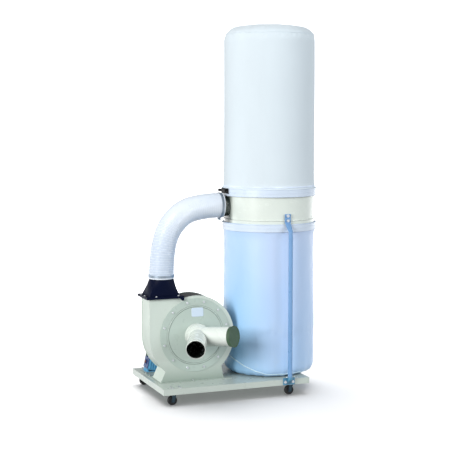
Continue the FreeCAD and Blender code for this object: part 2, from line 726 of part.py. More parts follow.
def collection_bag():
    wall = 2
    outside = [(HEM_R, LOWER_BAND_Z[1] + 2), (HEM_R, LOWER_BAND_Z[0]), (250, 855), (251, 700), (BAG_R, 330)]
    outside += bag_corner(BAG_CORNER_R) + [(0, BAG_FLOOR)]
    inside = [(DRUM_R + 0.2, LOWER_BAND_Z[1] + 2), (DRUM_R + 0.2, LOWER_BAND_Z[0] - 0.3), (248, 855),
              (249, 700), (BAG_R - wall, 330)]
    inside += bag_corner(BAG_CORNER_R - wall) + [(0, BAG_FLOOR + wall)]
    return about_drum(outside + inside[::-1])


def belt(z):
    return pipe(BAND_OUT_R, BAND_IN_R, V(DRUM_X, DRUM_Y, z[0]), Z_AXIS, z[1] - z[0])


def at_azimuth(shape, degrees):
    """Move a shape drawn with x along the belt and y outward to a place on the belt."""
    shape.rotate(V(0, 0, 0), Z_AXIS, degrees - 90)
    shape.translate(V(DRUM_X, DRUM_Y, 0))
    return shape


def latch_base(z, degrees):
    """Latch plate on the belt with two ears, its hinge pin and the keeper for the lever."""
    face = BAND_OUT_R + 0.3
    low = z[1] - 28
    plate = box((-48, 48), (face, face + 2.5), (low, z[1]))
    ears = []
    for ear_z in ((low + 6, low + 9), (z[1] - 3, z[1])):
        ear = box((LATCH_PIN_X - 6, LATCH_PIN_X + 6), (face + 2, LATCH_PIN_Y), ear_z)
        ears.append(ear)
        ears.append(rod(6, V(LATCH_PIN_X, LATCH_PIN_Y, ear_z[0]), Z_AXIS, 3))
    pin = rod(LATCH_PIN_R, V(LATCH_PIN_X, LATCH_PIN_Y, low + 6), Z_AXIS, 22)
    keeper = box((26, 44), (face + 2, face + 7), (low + 6, z[1] - 5))
    return at_azimuth(union([plate, pin, keeper] + ears), degrees)


def latch_lever(z, degrees):
    """Lever of the latch, closed along the belt, with its tip bent out for a finger."""
    low = z[1] - 28 + 9.4
    high = z[1] - 3.4
    corners = [V(LATCH_PIN_X, LATCH_PIN_Y - 2, low), V(22, LATCH_PIN_Y - 1, low), V(46, LATCH_PIN_Y + 9, low),
               V(45, LATCH_PIN_Y + 12, low), V(20, LATCH_PIN_Y + 2.5, low),
               V(LATCH_PIN_X, LATCH_PIN_Y + 2, low)]
    arm = Part.Face(Part.makePolygon(corners + corners[:1])).extrude(V(0, 0, high - low))
    knuckle = rod(5.5, V(LATCH_PIN_X, LATCH_PIN_Y, low), Z_AXIS, high - low)
    bore = rod(LATCH_PIN_R + JOURNAL_GAP, V(LATCH_PIN_X, LATCH_PIN_Y, low - 1), Z_AXIS, high - low + 2)
    return at_azimuth(union([arm, knuckle]).cut(bore), degrees)


# Struts

def strut(side):
    """Round strut with its top pressed flat against the drum and its foot plate on the base flange."""
    flat_y = DRUM_Y - DRUM_R - DRUM_BEAD_R - 1
    flat = box((DRUM_X - 17, DRUM_X + 17), (flat_y - STRUT_T, flat_y), STRUT_TOP)
    tube_top = V(DRUM_X, STRUT_Y, STRUT_KNEE_Z)
    joggle = loft_between(V(DRUM_X, flat_y - STRUT_T / 2, STRUT_TOP[0] + 4), (17, STRUT_T / 2), tube_top,
                          (STRUT_R, STRUT_R))
    tube = rod(STRUT_R, V(DRUM_X, STRUT_Y, STRUT_FOOT_Z[1] - 8), Z_AXIS, STRUT_KNEE_Z - STRUT_FOOT_Z[1] + 8)
    toe = loft_between(tube_top + V(0, 0, STRUT_FOOT_Z[1] - 8 - STRUT_KNEE_Z), (STRUT_R, STRUT_R),
                       V(DRUM_X, -STRUT_FOOT_T - 1.5, STRUT_FOOT_Z[0] + 6), (16, 2))
    foot = box(STRUT_FOOT_X, (-STRUT_FOOT_T, 0), STRUT_FOOT_Z)
    body = union([flat, joggle, tube, toe, foot])
    holes = [screw_hole(V(DRUM_X, flat_y - STRUT_T, z), V(0, -1, 0), M8, 20) for z in STRUT_BOLT_Z]
    holes += [screw_hole(V(x, -STRUT_FOOT_T, STRUT_FOOT_BOLT_Z), V(0, -1, 0), M8, 14) for x in strut_foot_x()]
    holes += [rod(M8 + 1.4, V(x, -STRUT_FOOT_T, STRUT_FOOT_BOLT_Z), V(0, -1, 0), 20) for x in strut_foot_x()]
    body = cut_all(body, holes)
    if side > 0:
        body = body.mirror(V(0, DRUM_Y, 0), Y_AXIS)
    return body


def loft_between(start, start_half, end, end_half):
    """Solid between two level ellipses, used where the tube is pressed flat."""
    wires = []
    for centre, half in ((start, start_half), (end, end_half)):
        if half[0] == half[1]:
            curve = Part.makeCircle(half[0], centre)
        else:
            curve = Part.Ellipse(centre, *half).toShape()
        wires.append(Part.Wire(curve))
    return Part.makeLoft(wires, True, True)


def strut_bolts():
    flat_y = DRUM_Y - DRUM_R - DRUM_BEAD_R - 1 - STRUT_T
    bolts = []
    for z in STRUT_BOLT_Z:
        bolts.append(screw(V(DRUM_X, flat_y, z), V(0, -1, 0), M8, 14))
    for x in strut_foot_x():
        bolts.append(screw(V(x, -STRUT_FOOT_T, STRUT_FOOT_BOLT_Z), V(0, -1, 0), M8, STRUT_FOOT_GRIP))
    rear = [bolt.mirror(V(0, DRUM_Y, 0), Y_AXIS) for bolt in bolts]
    return Part.makeCompound(bolts + rear)


# Motor and fan, front to back along the fan's axis

def on_fan_axis(y):
    return V(FAN_X, y, FAN_Z)


def motor_housing():
    y0, y1 = MOTOR_BODY_Y
    shell = pipe(MOTOR_R, MOTOR_R - MOTOR_WALL, on_fan_axis(y0), Y_AXIS, y1 - y0)
    fins = []
    for i in range(MOTOR_FINS):
        fin = box((MOTOR_R - 3, MOTOR_FIN_R), (y0 + 12, y1 - 8), (-1.6, 1.6))
        fin.rotate(V(0, 0, 0), Y_AXIS, 360 / MOTOR_FINS * (i + 0.5))
        fin.translate(V(FAN_X, 0, FAN_Z))
        fins.append(fin)
    seat = box((FAN_X - 48, FAN_X + 48), (352, 448), (FAN_Z + MOTOR_R - 12, TERMINAL_BOX_Z))
    hollow = rod(MOTOR_R - MOTOR_WALL, on_fan_axis(y0 - 1), Y_AXIS, y1 - y0 + 2)
    return union([shell] + fins + [seat]).cut(hollow)


def front_end_bell():
    y = BACK_FACE
    pocket = BEARING_R + JOURNAL_GAP
    inside = y + MOTOR_FLANGE_T
    outline = [(SHAFT_R + 2, y), (MOTOR_FLANGE_R, y), (MOTOR_FLANGE_R, inside), (BELL_SPIGOT_R, inside),
               (BELL_SPIGOT_R, inside + 8), (BELL_SPIGOT_R - 8, inside + 8), (BELL_SPIGOT_R - 8, inside),
               (pocket + 8, inside), (pocket + 8, FRONT_BEARING_Y[1]), (pocket, FRONT_BEARING_Y[1]),
               (pocket, FRONT_BEARING_Y[0]), (SHAFT_R + 2, FRONT_BEARING_Y[0])]
    return cut_all(about_fan(outline), [screw_hole(seat, Y_AXIS, M10, 22) for seat in motor_bolt_seats()])


def rear_end_bell():
    y = MOTOR_BODY_Y[1]
    pocket = BEARING_R + JOURNAL_GAP
    back = y + MOTOR_REAR_BELL_T
    outline = [(pocket, REAR_BEARING_Y[0]), (pocket + 8, REAR_BEARING_Y[0] - 4), (pocket + 8, y + 4),
               (BELL_SPIGOT_R - 8, y + 4), (BELL_SPIGOT_R - 8, y - 8), (BELL_SPIGOT_R, y - 8),
               (BELL_SPIGOT_R, y),
               (MOTOR_FIN_R - 4, y), (MOTOR_FIN_R - 4, y + 8), (MOTOR_R, back), (pocket + 4, back + 4),
               (SHAFT_R - 2, back + 4), (SHAFT_R - 2, back), (pocket, back)]
    return about_fan(outline)


def fan_cover():
    y0 = MOTOR_BODY_Y[1] + 8.3
    y1 = FAN_COVER_END
    outer = MOTOR_FIN_R - 1
    outline = [(outer, y0), (outer, y1 - 12), (outer - 12, y1), (16, y1), (16, y1 - 1.5),
               (outer - 12.6, y1 - 1.5), (outer - 1.5, y1 - 12.6), (outer - 1.5, y0)]
    cover = about_fan(outline)
    slots = []
    for row_r, count in ((34, 8), (56, 12), (76, 16)):
        for i in range(count):
            slot = box((row_r - 7, row_r + 7), (y1 - 5, y1 + 5), (-3, 3))
            slot.rotate(V(0, 0, 0), Y_AXIS, 360 / count * i)
            slot.translate(V(FAN_X, 0, FAN_Z))
            slots.append(slot)
    return cut_all(cover, slots)


def stator():
    core = pipe(BELL_SPIGOT_R, STATOR_R, on_fan_axis(STATOR_Y[0]), Y_AXIS, STATOR_Y[1] - STATOR_Y[0])
    coils = []
    for start in (STATOR_Y[0] - COIL_LENGTH, STATOR_Y[1]):
        coils.append(pipe(MOTOR_R - 12, STATOR_R + 4, on_fan_axis(start), Y_AXIS, COIL_LENGTH))
    return union([core] + coils)


def rotor_core():
    return pipe(ROTOR_R, SHAFT_R + 4, on_fan_axis(STATOR_Y[0]), Y_AXIS, STATOR_Y[1] - STATOR_Y[0])


def motor_shaft():
    waist = SHAFT_R + 4
    outline = [(0, SHAFT_FRONT), (SHAFT_NOSE_R, SHAFT_FRONT), (SHAFT_NOSE_R, HUB_Y[0]), (SHAFT_R, HUB_Y[0]),
               (SHAFT_R, FRONT_BEARING_Y[1]), (waist, FRONT_BEARING_Y[1] + 2), (waist, REAR_BEARING_Y[0] - 2),
               (SHAFT_R, REAR_BEARING_Y[0]), (SHAFT_R, REAR_BEARING_Y[1] - 1),
               (SHAFT_TAIL_R, REAR_BEARING_Y[1] - 1), (SHAFT_TAIL_R, SHAFT_REAR), (0, SHAFT_REAR)]
    return about_fan(outline)


def bearing(y):
    """Ball bearing drawn as one sealed ring."""
    r0 = SHAFT_R + JOURNAL_GAP
    outline = [(r0, y[0]), (BEARING_R, y[0]), (BEARING_R, y[1]), (r0, y[1]), (r0, y[1] - 1), (r0, y[0] + 1)]
    return about_fan(outline)


def cooling_fan():
    y0, y1 = COOLING_FAN_Y
    hub = pipe(2 * SHAFT_TAIL_R, SHAFT_TAIL_R, on_fan_axis(y0), Y_AXIS, y1 - y0)
    disc = pipe(40, 15, on_fan_axis(y0), Y_AXIS, 3)
    blades = []
    for i in range(COOLING_BLADES):
        blade = box((14, MOTOR_R - 10), (y0, y1 - 2), (-1.2, 1.2))
        blade.rotate(V(0, 0, 0), Y_AXIS, 360 / COOLING_BLADES * i)
        blade.translate(V(FAN_X, 0, FAN_Z))
        blades.append(blade)
    return union([hub, disc] + blades)


def impeller():
    """Open wheel: hub, back disc and straight radial blades that narrow to the rim."""
    hub = pipe(HUB_R, SHAFT_R, on_fan_axis(HUB_Y[0]), Y_AXIS, HUB_Y[1] - HUB_Y[0])
    disc = pipe(IMPELLER_R, HUB_R - 1, on_fan_axis(BACK_DISC_Y[0]), Y_AXIS, BACK_DISC_Y[1] - BACK_DISC_Y[0])
    root = BACK_DISC_Y[0]
    outline = [(IMPELLER_R, root), (IMPELLER_R, BLADE_RIM_FRONT), (90, BLADE_RIM_FRONT - 18), (45, 230),
               (HUB_R - 2, HUB_Y[0] + 5), (HUB_R - 2, root)]
    corners = [V(r, y, -BLADE_T / 2) for r, y in outline]
    blades = []
    for i in range(IMPELLER_BLADES):
        blade = Part.Face(Part.makePolygon(corners + corners[:1])).extrude(V(0, 0, BLADE_T))
        blade.rotate(V(0, 0, 0), Y_AXIS, 360 / IMPELLER_BLADES * i)
        blade.translate(V(FAN_X, 0, FAN_Z))
        blades.append(blade)
    return union([hub, disc] + blades)


def impeller_nut():
    """Flanged nut on the shaft's threaded front end."""
    seat = HUB_Y[0] - 4
    flange = pipe(HUB_R - 2, SHAFT_NOSE_R, on_fan_axis(seat), Y_AXIS, 4)
    bore = rod(SHAFT_NOSE_R, on_fan_axis(SHAFT_FRONT - 5), Y_AXIS, 60)
    nut = hex_prism(30, 14, on_fan_axis(seat), V(0, -1, 0)).cut(bore)
    return union([flange, nut])


def motor_bolts():
    return Part.makeCompound([screw(seat, Y_AXIS, M10, 20) for seat in motor_bolt_seats()])


# Terminal box, starter box, buttons and the lead between them

def shelled_box(x, y, z, wall):
    """A box open at the top."""
    inner = box((x[0] + wall, x[1] - wall), (y[0] + wall, y[1] - wall), (z[0] + wall, z[1] + 1))
    return box(x, y, z).cut(inner)


def terminal_box():
    body = shelled_box(TERMINAL_X, TERMINAL_Y, (TERMINAL_BOX_Z, TERMINAL_BOX_Z + TERMINAL_H), TERMINAL_WALL)
    entry = rod(GLAND_BORE_R + 2, V(TERMINAL_X[0] - 1, 400, TERMINAL_BOX_Z + 17), X_AXIS, 10)
    return body.cut(entry)


def terminal_box_cover():
    top = TERMINAL_BOX_Z + TERMINAL_H
    lid = box((TERMINAL_X[0] - 2, TERMINAL_X[1] + 2), (TERMINAL_Y[0] - 2, TERMINAL_Y[1] + 2), (top, top + 4))
    return lid.makeChamfer(1.5, [edge for edge in lid.Edges if edge.BoundBox.ZMin > top + 3])


def gland(seat, direction):
    """Screwed cable gland: spigot in the wall, hexagon and domed clamping nut."""
    spigot = rod(GLAND_BORE_R + 2, seat - direction * 4, direction, 5)
    hexagon = hex_prism(20, 6, seat, direction)
    nut = rod(8.5, seat + direction * 6, direction, 9)
    dome = Part.makeCone(8.5, GLAND_BORE_R + 1.2, 4, seat + direction * 15, direction)
    return union([spigot, hexagon, nut, dome]).cut(rod(GLAND_BORE_R, seat - direction * 6, direction, 30))


def lean(shape):
    """Lean a shape of the starter box over its foot's lower left edge."""
    shape.rotate(BOX_FOOT, Y_AXIS, BOX_LEAN)
    return shape


def lean_vector(direction):
    return FreeCAD.Rotation(Y_AXIS, BOX_LEAN).multVec(direction)


def lean_point(point):
    return BOX_FOOT + lean_vector(point - BOX_FOOT)


def starter_bracket():
    """Bent bracket: a foot on the sole plate and a leaning seat for the box."""
    seat = lean(box(BOX_X, BOX_Y, (BOX_Z[0] - 3, BOX_Z[0])))
    seat_box = seat.BoundBox
    foot = box((BOX_X[0] - 2, BOX_X[1] + 14), BOX_Y, (SOLE_TOP, SOLE_TOP + 3))
    web = box((seat_box.XMax - 8, seat_box.XMax - 5), BOX_Y, (SOLE_TOP, seat_box.ZMin + 3))
    post = box((BOX_X[0] + 2, BOX_X[0] + 8), BOX_Y, (SOLE_TOP, BOX_Z[0] - 6))
    above = box((BOX_X[0] - 40, BOX_X[1] + 60), (BOX_Y[0] - 5, BOX_Y[1] + 5), (BOX_Z[0] - 3, BOX_Z[0] + 150))
    supports = union([foot, web, post]).cut(lean(above))
    return union([supports, seat])


def starter_box():
    wall = 3
    body = box(BOX_X, BOX_Y, BOX_Z)
    hollow = box((BOX_X[0] - 1, BOX_X[1] - wall), (BOX_Y[0] + wall, BOX_Y[1] - wall),
                 (BOX_Z[0] + wall, BOX_Z[1] - wall))
    ribs = []
    for i in range(4):
        rib_x = BOX_X[0] + 8 + 14 * i
        ribs.append(box((rib_x, rib_x + 6), (BOX_Y[0] - 2.5, BOX_Y[0] + 1), (BOX_Z[0] + 4, BOX_Z[1] - 4)))
    body = union([body] + ribs).cut(hollow)
    top_entry = rod(GLAND_BORE_R + 2, V(BOX_X[0] + 34, BOX_MID_Y, BOX_Z[1] - 5), Z_AXIS, 10)
    back_entry = rod(GLAND_BORE_R + 2, V(BOX_X[0] + 30, BOX_Y[1] - 5, BOX_Z[0] + 26), Y_AXIS, 10)
    return lean(cut_all(body, [top_entry, back_entry]))


def starter_cover():
    sheet = box((BOX_X[0] - 5, BOX_X[0]), BOX_Y, (BOX_Z[0], BOX_Z[1]))
    sheet = sheet.makeChamfer(1.5, [edge for edge in sheet.Edges if edge.BoundBox.XMax < BOX_X[0] - 4])
    collars = []
    bores = []
    for z in BUTTON_Z.values():
        collars.append(rod(BUTTON_R + 4, V(BOX_X[0] - 8, BOX_MID_Y, z), X_AXIS, 5))
        bores.append(rod(BUTTON_R + JOURNAL_GAP + 0.05, V(BOX_X[0] - 20, BOX_MID_Y, z), X_AXIS, 40))
    return lean(cut_all(union([sheet] + collars), bores))


def push_button(name):
    z = BUTTON_Z[name]
    face = BOX_X[0] - 8 - BUTTON_STANDOFF
    stem = rod(BUTTON_R, V(face, BOX_MID_Y, z), X_AXIS, 14)
    stem = stem.makeChamfer(1.2, [edge for edge in stem.Edges if edge.BoundBox.XMax < face + 0.1])
    stop_rim = rod(BUTTON_R + 2.5, V(BOX_X[0] + 0.4, BOX_MID_Y, z), X_AXIS, 2)
    neck = rod(BUTTON_R, V(face + 13, BOX_MID_Y, z), X_AXIS, BOX_X[0] + 0.5 - face - 13)
    return lean(union([stem, neck, stop_rim]))


def terminal_gland_seat():
    return V(TERMINAL_X[0], 400, TERMINAL_BOX_Z + 17)


def starter_top_seat():
    return lean_point(V(BOX_X[0] + 34, BOX_MID_Y, BOX_Z[1]))


def cable_glands():
    supply_seat = lean_point(V(BOX_X[0] + 30, BOX_Y[1], BOX_Z[0] + 26))
    return [gland(terminal_gland_seat(), V(-1, 0, 0)), gland(starter_top_seat(), lean_vector(Z_AXIS)),
            gland(supply_seat, Y_AXIS)]


def lead_points():
    """Route of the motor lead from the terminal box's gland round the motor to the starter box's gland."""
    start = terminal_gland_seat() + V(-4, 0, 0)
    end = starter_top_seat() + lean_vector(Z_AXIS) * 4
    return [start, start + V(-50, 0, 0), start + V(-78, 18, -42), V(end.x + 24, end.y - 4, end.z + 118),
            end + lean_vector(Z_AXIS) * 60, end]


def motor_lead():
    return sweep(lead_points(), LEAD_R)


def export(name, shape):
    shape.translate(-ORIGIN)
    shape.exportStep("parts/%s.step" % name)
    box_now = shape.BoundBox
    print("%-22s solids %2d valid %s  X %7.1f %7.1f  Y %7.1f %7.1f  Z %7.1f %7.1f" % (
        name, len(shape.Solids), shape.isValid(), box_now.XMin, box_now.XMax, box_now.YMin, box_now.YMax,
        box_now.ZMin, box_now.ZMax))


os.makedirs("parts", exist_ok=True)

parts = {
    "base_pan": base_pan(),
    "sole_plate": sole_plate(),
    "base_bolts": Part.makeCompound(sole_bolts() + caster_bolts()),
    "caster_plates": caster_plates(),
    "blower_front_plate": blower_front_plate(),
    "blower_back_plate": blower_back_plate(),
    "scroll_band": scroll_band(),
    "outlet_flange": outlet_flange(),
    "inlet_cover": inlet_cover(),
    "housing_bolts": Part.makeCompound(inlet_cover_bolts() + adapter_screws()),
    "y_fitting": y_fitting(),
    "inlet_cap": inlet_cap(),
    "outlet_adapter": outlet_adapter(),
    "flex_hose": flex_hose(),
    "hose_clamps": Part.makeCompound([lower_hose_clamp(), upper_hose_clamp()]),
    "collector_drum": collector_drum(),
    "filter_bag": filter_bag(),
    "collection_bag": collection_bag(),
    "upper_band": belt(UPPER_BAND_Z),
    "lower_band": belt(LOWER_BAND_Z),
    "upper_latch_base": latch_base(UPPER_BAND_Z, UPPER_LATCH_AZIMUTH),
    "upper_latch_lever": latch_lever(UPPER_BAND_Z, UPPER_LATCH_AZIMUTH),
    "lower_latch_base": latch_base(LOWER_BAND_Z, LOWER_LATCH_AZIMUTH),
    "lower_latch_lever": latch_lever(LOWER_BAND_Z, LOWER_LATCH_AZIMUTH),
    "front_strut": strut(-1),
    "rear_strut": strut(1),
    "strut_bolts": strut_bolts(),
    "motor_housing": motor_housing(),
    "front_end_bell": front_end_bell(),
    "rear_end_bell": rear_end_bell(),
    "fan_cover": fan_cover(),
    "stator": stator(),
    "rotor_core": rotor_core(),
    "motor_shaft": motor_shaft(),
    "motor_bearings": Part.makeCompound([bearing(FRONT_BEARING_Y), bearing(REAR_BEARING_Y)]),
    "cooling_fan": cooling_fan(),
    "impeller": impeller(),
    "impeller_nut": impeller_nut(),
    "motor_bolts": motor_bolts(),
    "terminal_box": terminal_box(),
    "terminal_box_cover": terminal_box_cover(),
    "starter_bracket": starter_bracket(),
    "starter_box": starter_box(),
    "starter_cover": starter_cover(),
    "start_button": push_button("start_button"),
    "stop_button": push_button("stop_button"),
    "cable_glands": Part.makeCompound(cable_glands()),
    "motor_lead": motor_lead(),
}
for corner, (pivot_x, pivot_y) in CASTER_PIVOTS.items():
    parts["fork_" + corner] = caster_fork(pivot_x, pivot_y)
    parts["axle_" + corner] = caster_axle(pivot_x, pivot_y)
    parts["wheel_" + corner] = caster_wheel(pivot_x, pivot_y)

for name, shape in parts.items():
    export(name, shape)
print("nodes", len(parts))
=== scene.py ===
"""Looks of the two-bag dust collector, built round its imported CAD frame. Metres, in the row frame."""
import json
import math

import bpy
import numpy as np
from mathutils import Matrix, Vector, noise


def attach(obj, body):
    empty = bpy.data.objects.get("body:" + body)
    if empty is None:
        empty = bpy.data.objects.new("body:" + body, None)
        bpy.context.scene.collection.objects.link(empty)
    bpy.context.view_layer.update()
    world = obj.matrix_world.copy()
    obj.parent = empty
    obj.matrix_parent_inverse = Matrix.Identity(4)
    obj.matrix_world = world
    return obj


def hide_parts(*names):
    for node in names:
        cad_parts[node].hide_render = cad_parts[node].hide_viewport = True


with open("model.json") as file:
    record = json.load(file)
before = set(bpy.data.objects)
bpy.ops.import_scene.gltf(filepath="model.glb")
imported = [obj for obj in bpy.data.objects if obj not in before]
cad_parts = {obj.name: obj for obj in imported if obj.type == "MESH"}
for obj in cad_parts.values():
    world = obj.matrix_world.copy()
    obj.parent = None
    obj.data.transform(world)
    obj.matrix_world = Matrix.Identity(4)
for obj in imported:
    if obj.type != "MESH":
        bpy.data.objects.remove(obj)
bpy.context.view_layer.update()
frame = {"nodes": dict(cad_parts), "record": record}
nodes = frame["nodes"]

# Places shared with the CAD source, in metres
CAD_ORIGIN = Vector((0.459, 0.237, 0))
DRUM_AXIS = Vector((0.705, 0.2795, 0)) - CAD_ORIGIN
FAN_AXIS = Vector((0.227, 0, 0.337)) - CAD_ORIGIN
HOSE_ROUTE = [(0.061, 0.221, 0.640), (0.061, 0.221, 0.835), (0.172, 0.243, 0.984), (0.325, 0.2795, 1.015),
              (0.425, 0.2795, 1.015)]
HOSE_R = 0.069
HOSE_BORE = 0.0634
UPPER_BAND_Z = (1.066, 1.107)
LOWER_BAND_Z = (0.880, 0.920)
BAND_R = 0.2588
BLOWER_OPEN_BRANCH = Vector((-0.40, -0.907, -0.14)).normalized()
BLOWER_JUNCTION = Vector((0.227, 0.100, 0.337)) - CAD_ORIGIN

# Outlines of the bags as (radius, height), from the hem to the closed end
FILTER_OUTLINE = [(0.2549, 1.0645), (0.2549, 1.107), (0.2528, 1.118), (0.2502, 1.135), (0.2484, 1.30),
                  (0.2482, 1.60), (0.2482, 1.915), (0.2462, 1.936), (0.2400, 1.951), (0.2230, 1.964),
                  (0.190, 1.9715), (0.120, 1.981), (0.060, 1.9855), (0.010, 1.9868)]
BAG_R = 0.2556
BAG_CORNER = 0.050
BAG_CORNER_Z = 0.0912
BAG_OUTLINE = [(0.2549, 0.9215), (0.2549, 0.880), (0.2528, 0.868), (0.2502, 0.850), (0.2510, 0.700),
               (0.2545, 0.450), (BAG_R, 0.330), (BAG_R, 0.200)]
for degrees in range(0, 91, 10):
    turn = math.radians(degrees)
    BAG_OUTLINE.append((BAG_R - BAG_CORNER * (1 - math.cos(turn)),
                        BAG_CORNER_Z + BAG_CORNER * (1 - math.sin(turn))))
BAG_OUTLINE += [(0.160, 0.0911), (0.010, 0.0910)]
BAG_LOWEST = 0.0906
BAG_ROWS, BAG_AROUND = 150, 176


# Materials

RANGE_SOCKETS = ("From Min", "From Max", "To Min", "To Max")


class Shader:
    """A node material on a Principled shader, with patterns placed by the object's own coordinates."""

    def __init__(self, name, **sockets):
        self.material = bpy.data.materials.new(name)
        self.material.use_nodes = True
        self.tree = self.material.node_tree
        self.bsdf = self.tree.nodes["Principled BSDF"]
        for socket, value in sockets.items():
            self.bsdf.inputs[socket.replace("_", " ")].default_value = value
        self.place = self.add("ShaderNodeTexCoord").outputs["Object"]

    def add(self, kind, **settings):
        node = self.tree.nodes.new(kind)
        for key, value in settings.items():
            setattr(node, key, value)
        return node

    def link(self, source, target):
        if isinstance(source, (int, float)):
            target.default_value = source
        elif isinstance(source, tuple):
            needs_alpha = len(source) == 3 and len(target.default_value) == 4
            target.default_value = (*source, 1) if needs_alpha else source
        else:
            self.tree.links.new(source, target)

    def stretched(self, scale):
        mapping = self.add("ShaderNodeMapping")
        self.link(self.place, mapping.inputs["Vector"])
        mapping.inputs["Scale"].default_value = scale
        return mapping.outputs["Vector"]

    def noise(self, scale, detail=3, stretch=None, distortion=0.0):
        node = self.add("ShaderNodeTexNoise")
        self.link(self.stretched(stretch) if stretch else self.place, node.inputs["Vector"])
        node.inputs["Scale"].default_value = scale
        node.inputs["Detail"].default_value = detail
        node.inputs["Distortion"].default_value = distortion
        return node.outputs["Fac"]

    def wave(self, scale, direction, distortion=0.0):
        node = self.add("ShaderNodeTexWave", bands_direction=direction)
        self.link(self.place, node.inputs["Vector"])
        node.inputs["Scale"].default_value = scale
        node.inputs["Distortion"].default_value = distortion
        return node.outputs["Fac"]

    def remap(self, value, low, high, to_low=0.0, to_high=1.0):
        node = self.add("ShaderNodeMapRange")
        self.link(value, node.inputs["Value"])
        for socket, number in zip(RANGE_SOCKETS, (low, high, to_low, to_high)):
            node.inputs[socket].default_value = number
        return node.outputs["Result"]

    def maths(self, operation, first, second=0.0):
        node = self.add("ShaderNodeMath", operation=operation)
        self.link(first, node.inputs[0])
        self.link(second, node.inputs[1])
        return node.outputs[0]

    def mix(self, share, first, second):
        node = self.add("ShaderNodeMix", data_type="RGBA")
        self.link(share, node.inputs[0])
        self.link(first, node.inputs[6])
        self.link(second, node.inputs[7])
        return node.outputs[2]

    def axis(self, name):
        node = self.add("ShaderNodeSeparateXYZ")
        self.link(self.place, node.inputs[0])
        return node.outputs[name]

    def rounded(self, radius):
        node = self.add("ShaderNodeBevel", samples=4)
        node.inputs["Radius"].default_value = radius
        return node.outputs["Normal"]

    def edges(self, rounded):
        """How far the rounded normal leans from the face's own: near 1 along sharp edges."""
        dot = self.add("ShaderNodeVectorMath", operation="DOT_PRODUCT")
        self.link(rounded, dot.inputs[0])
        self.link(self.add("ShaderNodeNewGeometry").outputs["Normal"], dot.inputs[1])
        return self.remap(dot.outputs["Value"], 0.995, 0.86)

    def bump(self, height, strength, distance, normal=None):
        node = self.add("ShaderNodeBump")
        self.link(height, node.inputs["Height"])
        node.inputs["Strength"].default_value = strength
        node.inputs["Distance"].default_value = distance
        if normal is not None:
            self.link(normal, node.inputs["Normal"])
        return node.outputs["Normal"]

    def set(self, socket, value):
        self.link(value, self.bsdf.inputs[socket])


def srgb(red, green, blue):
    """Linear colour from 0-255 screen values."""
    return tuple(c / 12.92 if c <= 0.04045 else ((c + 0.055) / 1.055) ** 2.4 for c in
                 (red / 255, green / 255, blue / 255))


def shade(colour, factor):
    return tuple(min(1.0, c * factor) for c in colour)


def painted(name, colour, roughness=0.34, wear=None, peel=0.12, dark_part=None, coat=0.25, specular=0.5,
            dark=(14, 18, 16), edge=0.0012):
    """Powder-coated sheet metal: orange peel, slow tone changes, handling dust and rubbed edges.

    dark_part gives the share of the colour dark, in 0-255 screen values, that is laid over it in places.
    """
    s = Shader(name, Coat_Weight=coat, Coat_Roughness=0.16, Specular_IOR_Level=specular)
    tone = s.remap(s.noise(4.5, 4), 0.3, 0.7)
    base = s.mix(tone, shade(colour, 0.95), shade(colour, 1.04))
    dust = s.remap(s.noise(38, 6, distortion=0.6), 0.56, 0.78, 0, 0.22)
    base = s.mix(dust, base, shade(colour, 0.84))
    if dark_part:
        base = s.mix(dark_part(s), base, srgb(*dark))
    rounded = s.rounded(edge)
    rub = s.maths("MULTIPLY", s.edges(rounded), s.remap(s.noise(70, 5), 0.42, 0.62))
    base = s.mix(s.maths("MULTIPLY", rub, 0.55), base, wear or shade(colour, 1.25))
    s.set("Base Color", base)
    s.set("Roughness", s.remap(s.noise(22, 5), 0.3, 0.7, roughness - 0.05, roughness + 0.08))
    peel_height = s.noise(620, 2)
    s.set("Normal", s.bump(peel_height, peel, 0.0004, rounded))
    return s.material


def bare_metal(name, colour, roughness):
    """Plated or brushed metal with a drawn grain and faint stains."""
    s = Shader(name, Metallic=1.0)
    streak = s.noise(30, 4, stretch=(1, 1, 60))
    stain = s.remap(s.noise(45, 5), 0.45, 0.75, 0, 0.5)
    base = s.mix(s.remap(streak, 0.35, 0.65), shade(colour, 0.9), shade(colour, 1.08))
    s.set("Base Color", s.mix(stain, base, shade(colour, 0.78)))
    s.set("Roughness", s.remap(streak, 0.3, 0.7, roughness - 0.06, roughness + 0.12))
    s.set("Normal", s.bump(streak, 0.1, 0.0003, s.rounded(0.0007)))
    return s.material


def moulded(name, colour, roughness, texture=900, strength=0.25):
    """Moulded plastic or rubber with a fine grain and scuffed edges."""
    s = Shader(name)
    base = s.mix(s.remap(s.noise(14, 4), 0.3, 0.7), shade(colour, 0.88), shade(colour, 1.12))
    rounded = s.rounded(0.0009)
    rub = s.maths("MULTIPLY", s.edges(rounded), s.remap(s.noise(90, 4), 0.4, 0.65, 0, 0.35))
    s.set("Base Color", s.mix(rub, base, tuple(0.6 * c + 0.12 for c in colour)))
    s.set("Roughness", s.remap(s.noise(30, 5), 0.3, 0.7, roughness - 0.06, roughness + 0.1))
    s.set("Normal", s.bump(s.noise(texture, 2), strength, 0.0003, rounded))
    return s.material


